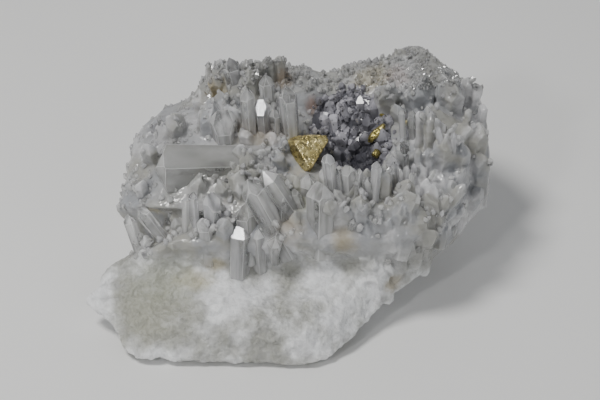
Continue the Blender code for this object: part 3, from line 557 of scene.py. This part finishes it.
SIDES = (  # how far each of the six sides is from the axis, as a share of half the width
    (1.00, 0.92, 1.04, 0.98, 0.94, 1.02),
    (0.86, 1.04, 0.96, 0.90, 1.06, 0.94),
    (1.02, 1.00, 0.88, 1.04, 0.96, 0.90),
    (0.78, 1.00, 0.98, 0.80, 1.02, 1.00),
    (1.04, 0.90, 0.90, 1.00, 0.86, 0.98),
    (0.94, 0.96, 1.00, 0.92, 0.98, 1.04),
    (0.70, 1.02, 1.00, 0.74, 0.98, 1.04),
    (1.00, 0.88, 1.06, 0.96, 0.92, 0.84),
    (1.00, 1.04, 1.00, 0.98, 1.02, 1.00),
)


def wear_edges(block, width):
    """Cuts a narrow strip along every edge but those round the root."""
    for edge in block.data.edges:
        edge.select = any(block.data.vertices[end].co.z > ROOT_LEVEL + 0.01 for end in edge.vertices)
    bpy.context.tool_settings.mesh_select_mode = (False, True, False)
    bpy.ops.object.mode_set(mode="EDIT")
    bpy.ops.mesh.bevel(offset=width, segments=1, affect="EDGES")
    bpy.ops.mesh.select_all(action="SELECT")
    bpy.ops.mesh.remove_doubles(threshold=0.0001)
    bpy.ops.object.mode_set(mode="OBJECT")
    bpy.context.tool_settings.mesh_select_mode = (True, False, False)


def is_edge_strip(polygon):
    narrow = len(polygon.vertices) == 4 and polygon.area < STRIP_AREA and polygon.normal.z < FLAT_TOP
    return polygon.area < CORNER_AREA or narrow


class Pattern:
    """One crystal a unit wide, its faces cut one by one: its root at ROOT_LEVEL and its tip's peak near z =
    0.
    """

    def __init__(self, number, worn=0.0):
        deselect()
        bpy.ops.mesh.primitive_cube_add(size=2.0, location=(0, 0, 1.0 + ROOT_LEVEL / 2))
        block = named(f"pattern_{number}")
        bpy.ops.object.mode_set(mode="EDIT")
        bpy.ops.mesh.select_all(action="SELECT")
        middle = 1 + ROOT_LEVEL / 2
        bpy.ops.transform.resize(value=(1, 1, 1 - ROOT_LEVEL / 2), center_override=(0, 0, middle))
        for side, (reach, back) in enumerate(zip(SIDES[number], STYLES[number])):
            angle = side * math.pi / 3 + 0.2
            away = Vector((math.cos(angle), math.sin(angle), 0.0))
            bisect(away * PRISM_HALF * reach, away)
            slope = LYING_TIP_SLOPE if number == LYING_PATTERN else TIP_SLOPE
            lean = away * math.sin(slope) + Vector((0, 0, math.cos(slope)))
            bisect(Vector((0, 0, back)), lean)
        bpy.ops.mesh.select_all(action="SELECT")
        bpy.ops.mesh.remove_doubles(threshold=0.0001)
        bpy.ops.object.mode_set(mode="OBJECT")
        if worn:
            wear_edges(block, worn * (LYING_WEAR if number == LYING_PATTERN else 1.0))
        face_out(block)
        self.points = np.array([vertex.co[:] for vertex in block.data.vertices])
        self.faces = [tuple(polygon.vertices) for polygon in block.data.polygons]
        self.edge = [worn > 0 and is_edge_strip(polygon) for polygon in block.data.polygons]
        self.root = self.points[:, 2] < self.points[:, 2].min() + 0.5
        self.points[:, 2] -= self.points[~self.root, 2].max()
        bpy.data.objects.remove(block)


class Cluster:
    """Many crystals, each with its own place and size, that become one mesh."""

    def __init__(self, patterns):
        self.patterns = patterns
        self.points, self.faces, self.rise, self.tint, self.facet, self.grain = [], [], [], [], [], []
        self.count = 0

    def add(
        self, origin, axis, width, length, root=None, taper=0.9, spin=None, number=None, facing=None,
        coarse=1.0,
    ):
        """Grows one crystal from origin along axis, all in millimetres."""
        pattern = self.patterns[rng.randrange(LYING_PATTERN) if number is None else number]
        root = width if root is None else root
        spin = rng.uniform(0, 2 * math.pi) if spin is None else spin
        axis = Vector(axis).normalized()
        across = Vector(facing) if facing is not None else (RIGHT if abs(axis.x) < 0.8 else UP)
        side = (across - axis * across.dot(axis)).normalized()
        third = axis.cross(side)
        turned_x = side * math.cos(spin) + third * math.sin(spin)
        turned_y = third * math.cos(spin) - side * math.sin(spin)
        local = pattern.points.copy()
        local[:, :2] *= width
        local[~pattern.root, :2] *= taper
        local[pattern.root, :2] *= ROOT_TAPER
        local[:, 2] = np.where(pattern.root, -root, length + local[:, 2] * width)
        basis = np.array([turned_x[:], turned_y[:], axis[:]])
        self.points.append(local @ basis + np.array(origin[:]))
        self.rise.append(np.clip(local[:, 2] / max(length, 0.01), 0.0, 1.0))
        self.grain.append(local * (coarse, coarse, GRAIN_STRETCH) + 100.0 * rng.random())
        self.tint.append(np.full(len(local), rng.random()))
        self.faces += [tuple(index + self.count for index in face) for face in pattern.faces]
        # Strips along the edges get a facet value of 1, which the material paints as light edges: a painted
        # highlight.
        self.facet.append([1.0 if strip else rng.uniform(0.0, 0.8) for strip in pattern.edge])
        self.count += len(local)

    def build(self, name):
        mesh = bpy.data.meshes.new(name)
        mesh.from_pydata((np.concatenate(self.points) * MM).tolist(), [], self.faces)
        for label, values, domain in (
            ("rise", self.rise, "POINT"), ("tint", self.tint, "POINT"), ("facet", self.facet, "FACE")
        ):
            layer = mesh.attributes.new(label, "FLOAT", domain)
            layer.data.foreach_set("value", np.concatenate(values).astype(np.float32))
        layer = mesh.attributes.new("grain", "FLOAT_VECTOR", "POINT")
        layer.data.foreach_set("vector", np.concatenate(self.grain).astype(np.float32).ravel())
        piece = bpy.data.objects.new(name, mesh)
        bpy.context.scene.collection.objects.link(piece)
        return piece


def skin_of(piece):
    """The surface of a piece, in millimetres, for lines of sight to meet."""
    points = [vertex.co / MM for vertex in piece.data.vertices]
    return BVHTree.FromPolygons(points, [polygon.vertices[:] for polygon in piece.data.polygons])


def on_face(skin, x, v):
    ahead = (seen(x, v, 0.0) - EYE).normalized()
    place, normal, _, _ = skin.ray_cast(EYE, ahead)
    if place is None:
        place, normal, _, _ = skin.find_nearest(slab_point(x, v, SHELF_THICKNESS))
    return place, normal


def is_soft(x, v):
    return any(math.hypot((x - zone[0]) / zone[2], (v - zone[1]) / zone[3]) < 1 for zone in SOFT_ZONES)


def aim(x, v, tip_x, tip_v, lean):
    """The direction and length of a crystal seen from root to tip, leaning this many degrees to the eye."""
    lean = math.radians(lean)
    picture = Vector((tip_x - x, tip_v - v))
    axis = (RIGHT * picture.x + UP * picture.y).normalized() * math.cos(lean) + TOWARD * math.sin(lean)
    return axis, picture.length / math.cos(lean)


def grow_large(sharp, sunk, skin):
    """The great crystals: glassy ones apart, and those that the milky mass half buries."""
    for index, (x, v, tip_x, tip_v, width, lean) in enumerate(LARGE_CRYSTALS):
        root, _ = on_face(skin, x, v)
        axis, length = aim(x, v, tip_x, tip_v, lean)
        spin = TWIN_SPIN if index == TWIN else index * SPIN_STEP
        habit = {"root": GREAT_ROOT, "number": index % LYING_PATTERN, "spin": spin}
        root -= TOWARD * width * SET_BACK
        if is_soft(x, v):
            sunk.add(root - TOWARD * width * SOFT_SET_BACK, axis, width, length, **habit)
        else:
            sharp.add(root, axis, width, length, **habit)
            sunk.add(root, axis, width * CORE_WIDTH, length * CORE_LENGTH, **habit)


def grow_fill(cluster, skin):
    """Medium crystals in the gaps, all half sunk."""
    for x, v, half_wide, half_high, count, widths, slender in FILL:
        for _ in range(count):
            angle = rng.uniform(0, 2 * math.pi)
            reach = math.sqrt(rng.random())
            place_x = x + half_wide * reach * math.cos(angle)
            place_v = v + half_high * reach * math.sin(angle)
            if place_v < shelf_line(place_x) or in_hollow(place_x, place_v, 1.1):
                continue
            if not within_edge(place_x, place_v, FILL_REACH) or in_view(place_x, place_v):
                continue
            place, normal = on_face(skin, place_x, place_v)
            width = rng.uniform(*widths)
            axis = TOWARD * 0.5 + UP * 0.8 + normal * 0.4 + Vector([rng.gauss(0, 0.2) for _ in range(3)])
            cluster.add(place, axis, width, width * slender * rng.uniform(0.5, 1.2), taper=0.9)


def grow_lying(sharp, sunk, skin):
    """The great lying crystal at the left: a glassy one over a smaller milky core."""
    x, v, tip_x, tip_v, width, lean = LYING_CRYSTAL
    root, _ = on_face(skin, x, v)
    axis, length = aim(x, v, tip_x, tip_v, lean)
    habit = {"root": 6.0, "number": LYING_PATTERN, "spin": -0.2, "facing": UP, "taper": 0.97, "coarse": 0.3}
    sharp.add(root - TOWARD * 1.5, axis, width, length, **habit)
    sunk.add(root - TOWARD * 2.5, axis, width * 0.8, length * 0.85, **habit)


def bed_at(x, v):
    best, nearest = PLAIN_BED, 1.0
    for bed in BEDS:
        distance = math.hypot((x - bed[0]) / bed[2], (v - bed[1]) / bed[3])
        if distance < nearest:
            best, nearest = bed, distance
    return best


def within_edge(x, v, scale):
    """Whether a place is inside the slab's edge when that is drawn this much smaller about HEART."""
    inside = False
    for ends in zip(OUTLINE, OUTLINE[1:] + OUTLINE[:1]):
        x0, v0, x1, v1 = (
            HEART[axis] + scale * (point[axis] - HEART[axis]) for point in ends for axis in (0, 1)
        )
        if (v0 > v) != (v1 > v) and x < x0 + (v - v0) / (v1 - v0) * (x1 - x0):
            inside = not inside
    return inside


def in_hollow(x, v, grow=1.0):
    return math.hypot((x - HOLLOW[0]) / HOLLOW[2], (v - HOLLOW[1]) / HOLLOW[3]) < grow


def in_view(x, v):
    """Whether a crystal here would hide the metal wedge, the clear twins or the centre crystal's foot."""
    return any(math.hypot((x - spot[0]) / spot[2], (v - spot[1]) / spot[3]) < 1 for spot in IN_VIEW)


def grow_beds(cluster, mass):
    """Small crystals over the slab's upper face, thick or thin by the bed that they stand in."""
    for polygon in mass.data.polygons:
        if polygon.normal.z < 0.15:
            continue
        centre = polygon.center / MM
        x, v = picture_place(centre)
        if v < shelf_line(x) or in_hollow(x, v) or in_view(x, v):
            continue
        _, _, _, _, widths, slender, crowd = bed_at(x, v)
        area = polygon.area / MM / MM
        if rng.random() > crowd * area:
            continue
        width = rng.uniform(*widths) * rng.uniform(0.8, 1.2)
        stray = Vector([rng.gauss(0, 0.28) for _ in range(3)])
        axis = polygon.normal * 0.8 + Vector((0, 0, 0.7)) + stray
        length = width * slender * rng.uniform(0.5, 1.25)
        cluster.add(centre, axis, width, length, taper=rng.uniform(0.8, 0.96))


def grow_hollow(cluster, skin):
    """The hollow's dark crystals: the great ones, and small ones between them."""
    for x, v, width in HOLLOW_GREAT:
        place, normal = on_face(skin, x, v - 1.5)
        axis = TOWARD * 0.5 + UP * 0.9 + Vector([rng.gauss(0, 0.25) for _ in range(3)])
        cluster.add(place + TOWARD * 1.0, axis, width, width * rng.uniform(0.6, 1.0), taper=0.96)
    for _ in range(HOLLOW_CRYSTALS):
        angle = rng.uniform(0, 2 * math.pi)
        reach = math.sqrt(rng.random())
        x = HOLLOW[0] + HOLLOW[2] * reach * math.cos(angle)
        v = HOLLOW[1] + HOLLOW[3] * reach * math.sin(angle)
        place, normal = on_face(skin, x, v)
        width = rng.choice((rng.uniform(0.8, 1.8), rng.uniform(1.6, 3.2)))
        axis = normal * 0.7 + SLAB_NORMAL * 0.6 + Vector([rng.gauss(0, 0.3) for _ in range(3)])
        cluster.add(place, axis, width, width * rng.uniform(0.6, 1.3), taper=rng.uniform(0.88, 0.97))


# Materials

class Wire:
    """A shader socket's output. Arithmetic on it adds Math nodes."""

    def __init__(self, paint, socket):
        self.paint = paint
        self.socket = socket

    def math(self, operation, *others):
        return self.paint.node("ShaderNodeMath", {"operation": operation}, dict(enumerate((self, *others))))

    def __add__(self, other):
        return self.math("ADD", other)

    def __sub__(self, other):
        return self.math("SUBTRACT", other)

    def __mul__(self, other):
        return self.math("MULTIPLY", other)

    def __rsub__(self, other):
        return (self * -1.0) + other

    __radd__ = __add__
    __rmul__ = __mul__

    def clamped(self):
        return self.paint.node("ShaderNodeClamp", {}, {0: self})

    def between(self, low, high):
        """0 below low, 1 above high, and smooth in between."""
        ends = {1: low, 2: high, 3: 0.0, 4: 1.0}
        return self.paint.node("ShaderNodeMapRange", {"interpolation_type": "SMOOTHSTEP"}, {0: self, **ends})


class Paint:
    """One material and its nodes."""

    def __init__(self, name):
        self.material = bpy.data.materials.new(name)
        self.material.use_nodes = True
        self.tree = self.material.node_tree
        self.tree.nodes.clear()
        self.here = self.node("ShaderNodeTexCoord", output="Object")

    def node(self, kind, settings=None, inputs=None, output=0):
        made = self.tree.nodes.new(kind)
        for key, value in (settings or {}).items():
            setattr(made, key, value)
        for key, value in (inputs or {}).items():
            if isinstance(value, Wire):
                self.tree.links.new(value.socket, made.inputs[key])
            else:
                made.inputs[key].default_value = value
        return Wire(self, made.outputs[output] if made.outputs else None)

    def noise(self, scale, detail=4.0, roughness=0.55, distortion=0.0, where=None):
        settings = {"Vector": where or self.here, "Scale": scale, "Detail": detail, "Roughness": roughness}
        return self.node("ShaderNodeTexNoise", {}, {**settings, "Distortion": distortion})

    def cells(self, scale, output="Distance"):
        return self.node("ShaderNodeTexVoronoi", {}, {"Vector": self.here, "Scale": scale}, output)

    def along(self, direction):
        """How far a point lies from the origin along a direction, in metres."""
        return self.node(
            "ShaderNodeVectorMath", {"operation": "DOT_PRODUCT"}, {0: self.here, 1: direction[:]}, "Value"
        )

    def attribute(self, name, output="Fac"):
        return self.node("ShaderNodeAttribute", {"attribute_name": name}, output=output)

    def mix(self, share, low, high):
        """A colour between low and high."""
        low, high = (tone if isinstance(tone, Wire) else (*tone, 1.0) for tone in (low, high))
        return self.node("ShaderNodeMix", {"data_type": "RGBA"}, {0: share, 6: low, 7: high}, 2)

    def spot(self, place, size, blur=0.5):
        """1 at a place on the face, falling to 0 at size millimetres from it, with a ragged edge."""
        centre = place * MM
        offset = self.node("ShaderNodeVectorMath", {"operation": "SUBTRACT"}, {0: self.here, 1: centre})
        scaled = self.node(
            "ShaderNodeVectorMath", {"operation": "DIVIDE"}, {0: offset, 1: [side * MM for side in size]}
        )
        distance = self.node("ShaderNodeVectorMath", {"operation": "LENGTH"}, {0: scaled}, "Value")
        ragged = distance + (self.noise(260.0, 3.0) - 0.5) * 1.2
        return 1.0 - ragged.between(1.0 - blur, 1.0 + blur)

    def shader(self, **sockets):
        inputs = {key.replace("_", " "): value for key, value in sockets.items()}
        return self.node("ShaderNodeBsdfPrincipled", {"subsurface_method": "RANDOM_WALK"}, inputs)

    def blend(self, share, first, second):
        return self.node("ShaderNodeMixShader", {}, {0: share, 1: first, 2: second})

    def bump(self, height, strength, distance):
        sockets = {"Height": height, "Strength": strength, "Distance": distance * MM}
        return self.node("ShaderNodeBump", {}, sockets)

    def finish(self, shader):
        self.node("ShaderNodeOutputMaterial", {}, {"Surface": shader})
        return self.material


def stains_and_painted_shade(paint, colour):
    """The iron-brown and cream staining that runs through the quartz, and a painted shade that greys its
    top.
    """
    for x, v, high, size, blur, strength, tone in STAINS_AND_SHADE:
        share = paint.spot(slab_point(x, v, high), size, blur) * strength
        colour = paint.mix(share, colour, tone)
    # Painted shade: towards the top of the slab the colour is mixed towards dark grey.
    top = paint.along(UP).between(0.058, 0.072)
    return paint.mix(top * 0.4, colour, (0.28, 0.28, 0.27))


def massive_quartz():
    """White vein quartz: bright and sugary on the shelf, greyer and glassier where the crystals stand, where
    its darker, warmer ground is partly painted shade between the crystals.
    """
    paint = Paint("milky vein quartz")
    broad = paint.noise(60.0, 4.0)
    warmth = paint.noise(45.0, 3.0, 0.6, 0.6)
    fine = paint.noise(420.0, 4.0)
    shelf = 1.0 - paint.along(UP).between(0.006, 0.015)
    # Partly painted shade: the ground where the crystals stand is darker and warmer than the shelf, for the
    # shade between them.
    crystal_ground_and_shade = paint.mix(warmth.between(0.40, 0.56), (0.38, 0.39, 0.41), (0.40, 0.395, 0.36))
    crystal_ground_and_shade = paint.mix(broad.between(0.48, 0.62), crystal_ground_and_shade, (0.66, 0.66, 0.67))
    bright = paint.mix(broad.between(0.38, 0.60), (0.42, 0.42, 0.38), (0.92, 0.93, 0.94))
    colour = paint.mix(shelf, crystal_ground_and_shade, bright)
    colour = paint.mix(fine.between(0.45, 0.7) * 0.35, colour, (0.36, 0.36, 0.35))
    patches = paint.node("ShaderNodeSeparateColor", {}, {0: paint.cells(330.0, output="Color")})
    colour = paint.mix(patches * 0.3, colour, (0.36, 0.36, 0.37))
    colour = stains_and_painted_shade(paint, colour)
    sugar = paint.cells(900.0)
    rubble = paint.noise(190.0, 5.0, 0.65)
    height = sugar * 0.3 + fine * 0.5 + rubble * 5.0 * shelf
    shader = paint.shader(
        Base_Color=colour, Roughness=shelf * 0.3 + 0.14 - sugar * 0.1, IOR=1.54, Subsurface_Weight=1.0,
        Subsurface_Radius=(1.0, 1.0, 1.0), Subsurface_Scale=3.0 * MM, Normal=paint.bump(height, 0.6, 0.6),
    )
    return paint.finish(shader)


def crystal_quartz(name, dark, light, clearness):
    """Crystals with faint milky streaks along them: each facet has its own tone and clearness, and the
    strips along their edges are whitened as a painted highlight.
    """
    paint = Paint(name)
    rise = paint.attribute("rise")
    tint = paint.attribute("tint")
    facet = paint.attribute("facet")
    grain = paint.attribute("grain", "Vector")
    # Painted highlight: the strips along the crystals' edges are made lighter, whiter and less clear.
    edge = facet.between(0.85, 0.95)
    streaks = paint.noise(0.3, 3.0, 0.5, 0.4, grain).between(0.3, 0.7)
    flutes = paint.noise(1.2, 3.0, 0.5, 0.0, grain)
    colour = paint.mix((facet * 0.4 + streaks * 0.6).clamped(), dark, light)
    colour = paint.mix(tint.between(0.5, 0.9) * 0.5, colour, (0.70, 0.70, 0.76))
    colour = stains_and_painted_shade(paint, colour)
    colour = paint.mix(flutes.between(0.58, 0.70) * 0.3, colour, (1.0, 1.0, 1.0))
    colour = paint.mix(edge * 0.3, colour, (1.0, 1.0, 1.0))
    normal = paint.bump(flutes, 0.08, 0.2)
    milky = paint.shader(
        Base_Color=colour, Roughness=0.08, IOR=1.54, Subsurface_Weight=0.9,
        Subsurface_Radius=(1.0, 1.0, 1.0), Subsurface_Scale=2.5 * MM, Normal=normal,
    )
    clear = paint.shader(
        Base_Color=(0.98, 0.99, 0.99, 1.0), Roughness=0.02, IOR=1.54, Transmission_Weight=1.0,
        Normal=normal,
    )
    windows = (1.0 - streaks * 0.35 + rise * 0.2 - 0.1) * clearness
    share = (windows + (facet - 0.4) * 0.3).clamped() * (1.0 - edge * 0.4)
    return paint.finish(paint.blend(share, milky, clear))


def smoky_quartz():
    """The hollow's dark crystals, specked with black."""
    paint = Paint("smoky hollow quartz")
    rise = paint.attribute("rise")
    tint = paint.attribute("tint")
    specks = paint.noise(900.0, 2.0).between(0.60, 0.66)
    patches = paint.noise(120.0, 3.0).between(0.42, 0.62)
    colour = paint.mix((rise * 0.5 + tint * 0.6).clamped(), (0.14, 0.14, 0.16), (0.58, 0.57, 0.62))
    colour = paint.mix(patches * 0.6, colour, (0.04, 0.04, 0.05))
    colour = paint.mix(specks * 0.8, colour, (0.012, 0.012, 0.014))
    # Painted shade: the hollow's darkest part, mixed almost to black.
    place, size = HOLLOW_SHADE
    colour = paint.mix(paint.spot(slab_point(*place), size) * 0.85, colour, (0.04, 0.04, 0.05))
    shader = paint.shader(
        Base_Color=colour, Roughness=0.18, IOR=1.54, Subsurface_Weight=0.3,
        Subsurface_Radius=(1.0, 1.0, 1.0), Subsurface_Scale=1.5 * MM,
    )
    return paint.finish(shader)


def brass_metal(name, dark, light):
    """Chalcopyrite: striated metal between two tones, with duller olive and black patches."""
    paint = Paint(name)
    streaks = paint.noise(300.0, 4.0, 0.6)
    dull = paint.noise(500.0, 4.0).between(0.48, 0.68)
    specks = paint.noise(1300.0, 3.0).between(0.57, 0.64)
    colour = paint.mix(streaks.between(0.3, 0.7), dark, light)
    colour = paint.mix(dull * 0.6, colour, (0.24, 0.20, 0.07))
    colour = paint.mix(specks * 0.8, colour, (0.03, 0.025, 0.015))
    height = streaks * 0.5 + paint.noise(1200.0, 4.0) * 0.6
    shader = paint.shader(
        Base_Color=colour, Metallic=0.95 - dull * 0.3, Roughness=dull * 0.3 + 0.24,
        Normal=paint.bump(height, 0.65, 0.35),
    )
    return paint.finish(shader)


def plain_floor():
    paint = Paint("pale studio floor")
    return paint.finish(paint.shader(Base_Color=(0.86, 0.86, 0.85, 1.0), Roughness=0.6))


# The metal

def add_wedge(skin):
    """The chalcopyrite wedge: a three-sided block with cut corners and stepped, pitted faces."""
    deselect()
    bpy.ops.mesh.primitive_cone_add(
        vertices=3, radius1=WEDGE_BACK_RADIUS, radius2=WEDGE_FRONT_RADIUS, depth=WEDGE_DEPTH
    )
    wedge = named("chalcopyrite_wedge")
    bpy.ops.object.mode_set(mode="EDIT")
    bpy.ops.mesh.select_all(action="SELECT")
    bpy.ops.transform.rotate(value=math.pi, orient_axis="Z", center_override=(0, 0, 0))
    for point, direction in WEDGE_CUTS:
        bisect(Vector(point), Vector(direction))
    bpy.ops.mesh.select_all(action="SELECT")
    bpy.ops.mesh.bevel(offset=0.25, segments=2, affect="EDGES")
    bpy.ops.object.mode_set(mode="OBJECT")
    place, _ = on_face(skin, *WEDGE_PLACE)
    lay(wedge, place + TOWARD * WEDGE_RAISED, WEDGE_AXIS, RIGHT)
    add_modifier(wedge, "even skin", "REMESH", mode="VOXEL", voxel_size=0.16 * MM)
    steps = texture("metal growth steps", "VORONOI", noise_scale=0.0016, distance_metric="DISTANCE")
    add_modifier(wedge, "steps", "DISPLACE", texture=steps, strength=0.25 * MM, mid_level=0.5)
    pits = texture("metal pits", "CLOUDS", noise_scale=0.0006, noise_depth=2)
    add_modifier(wedge, "pits", "DISPLACE", texture=pits, strength=0.2 * MM, mid_level=0.5)
    apply_modifiers(wedge)
    return wedge


def lay(piece, origin, axis, across):
    """Turns a mesh made along +Z to lie along axis, its +X nearest to across, and sets it in metres."""
    axis = axis.normalized()
    side = (across - axis * across.dot(axis)).normalized()
    turn = Matrix((side, axis.cross(side), axis)).transposed()
    for vertex in piece.data.vertices:
        vertex.co = (origin + turn @ vertex.co) * MM


def add_grain(name, skin, x, v, half_length, half_width, turn, height):
    """A worn grain of the metal, longer than it is wide."""
    deselect()
    bpy.ops.mesh.primitive_ico_sphere_add(subdivisions=2, radius=1.0)
    grain = named(name)
    bpy.ops.object.mode_set(mode="EDIT")
    bpy.ops.mesh.select_all(action="SELECT")
    bpy.ops.transform.resize(value=(half_length, half_width, half_width), center_override=(0, 0, 0))
    bpy.ops.object.mode_set(mode="OBJECT")
    place, _ = on_face(skin, x, v)
    angle = math.radians(turn)
    lay(grain, place + TOWARD * height, TOWARD, RIGHT * math.cos(angle) + UP * math.sin(angle))
    add_modifier(grain, "finer", "SUBSURF", levels=2, render_levels=2)
    chips = texture(name + " chips", "VORONOI", noise_scale=0.0014, distance_metric="DISTANCE")
    add_modifier(grain, "chips", "DISPLACE", texture=chips, strength=0.6 * MM, mid_level=0.5)
    apply_modifiers(grain)
    face_out(grain)
    return grain


def add_hollow_floor(skin):
    """The dark ground between the hollow's crystals."""
    deselect()
    bpy.ops.mesh.primitive_uv_sphere_add(segments=64, ring_count=24, radius=1.0)
    floor = named("hollow_floor")
    for vertex in floor.data.vertices:
        place = vertex.co.copy()
        x = HOLLOW[0] + 0.95 * HOLLOW[2] * place.x
        v = HOLLOW[1] + 0.95 * HOLLOW[3] * place.y
        ground, _ = on_face(skin, x, v)
        spread = math.hypot(place.x, place.y)
        lift = 0.2 + 0.9 * math.sqrt(max(0.0, 1 - spread ** 2))
        vertex.co = (ground + SLAB_NORMAL * (lift if place.z >= -0.01 else -1.0)) * MM
    face_out(floor)
    in_order(floor)
    return floor


# Light and camera

LIGHTS = (  # name, place in metres, size, power, colour
    ("key light", (-0.35, -0.15, 0.85), 0.25, 5.6, (1.0, 0.99, 0.97)),
    ("fill light", (0.6, -0.8, 0.5), 0.6, 1.2, (0.98, 0.99, 1.0)),
    ("back light", (0.15, 0.7, 0.6), 0.9, 1.2, (0.98, 0.99, 1.0)),
    ("spark light", (-0.43, -0.72, 0.61), 0.12, 1.8, (1.0, 1.0, 1.0)),
)
SKY_COLOUR, SKY_STRENGTH = (0.9, 0.92, 0.95, 1.0), 0.2


def add_area(name, place, size, power, colour):
    lamp = bpy.data.lights.new(name, "AREA")
    lamp.shape = "DISK"
    lamp.size = size
    lamp.energy = power
    lamp.color = colour
    made = bpy.data.objects.new(name, lamp)
    bpy.context.scene.collection.objects.link(made)
    made.location = place
    made.rotation_euler = (MIDDLE * MM - Vector(place)).to_track_quat("-Z", "Y").to_euler()


def add_stage():
    deselect()
    bpy.ops.mesh.primitive_plane_add(size=4.0)
    floor = named("studio_floor")
    floor.data.materials.append(plain_floor())
    for light in LIGHTS:
        add_area(*light)
    world = bpy.data.worlds.new("studio")
    world.use_nodes = True
    sky = world.node_tree.nodes["Background"].inputs
    sky["Color"].default_value = SKY_COLOUR
    sky["Strength"].default_value = SKY_STRENGTH
    bpy.context.scene.world = world


def add_camera():
    lens = bpy.data.cameras.new("camera")
    lens.sensor_width = SENSOR_WIDTH
    lens.lens = SENSOR_WIDTH * EYE_DISTANCE / (PIXEL * PICTURE_WIDTH)
    lens.clip_start = 0.01
    camera = bpy.data.objects.new("camera", lens)
    bpy.context.scene.collection.objects.link(camera)
    camera.location = EYE * MM
    camera.rotation_euler = (-TOWARD).to_track_quat("-Z", "Y").to_euler()
    bpy.context.scene.camera = camera


def hand_over(piece, node, material):
    """Joins a finished piece to the frame."""
    piece.data.materials.clear()
    piece.data.materials.append(material)
    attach(piece, "root")
    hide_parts(node)


def main():
    patterns = [Pattern(number) for number in range(len(STYLES))]
    worn_patterns = [Pattern(number, WORN_EDGE) for number in range(len(STYLES))]
    bare = add_body()
    ground = skin_of(bare)
    bpy.data.objects.remove(bare)
    mass = add_body(OVERGROWTH)
    great, sunk = Cluster(worn_patterns), Cluster(patterns)
    grow_large(great, sunk, ground)
    grow_lying(great, sunk, ground)
    grow_fill(sunk, ground)
    grow_together(mass, sunk.build("sunk_crystals"))

    skin = skin_of(mass)
    small, dark = Cluster(patterns), Cluster(patterns)
    grow_beds(small, mass)
    grow_hollow(dark, ground)

    milky = crystal_quartz("quartz crystals", (0.74, 0.74, 0.72), (1.0, 1.0, 1.0), 0.85)
    sugary = crystal_quartz("small quartz crystals", (0.50, 0.50, 0.48), (0.94, 0.94, 0.94), 0.5)
    smoky = smoky_quartz()
    metal = brass_metal("chalcopyrite", (0.54, 0.43, 0.15), (0.88, 0.76, 0.40))
    olive = brass_metal("olive chalcopyrite", (0.34, 0.29, 0.08), (0.58, 0.50, 0.20))

    hand_over(mass, "quartz", massive_quartz())
    hand_over(great.build("great_crystals"), "quartz", milky)
    hand_over(small.build("small_crystals"), "quartz", sugary)
    hand_over(add_hollow_floor(ground), "hollow_crust", smoky)
    hand_over(dark.build("hollow_crystals"), "hollow_crust", smoky)
    hand_over(add_wedge(ground), "chalcopyrite_crystal", metal)
    for grain in GRAINS:
        hand_over(add_grain(grain[0] + "_fine", ground, *grain[1:]), grain[0], olive)
    add_stage()
    add_camera()


main()
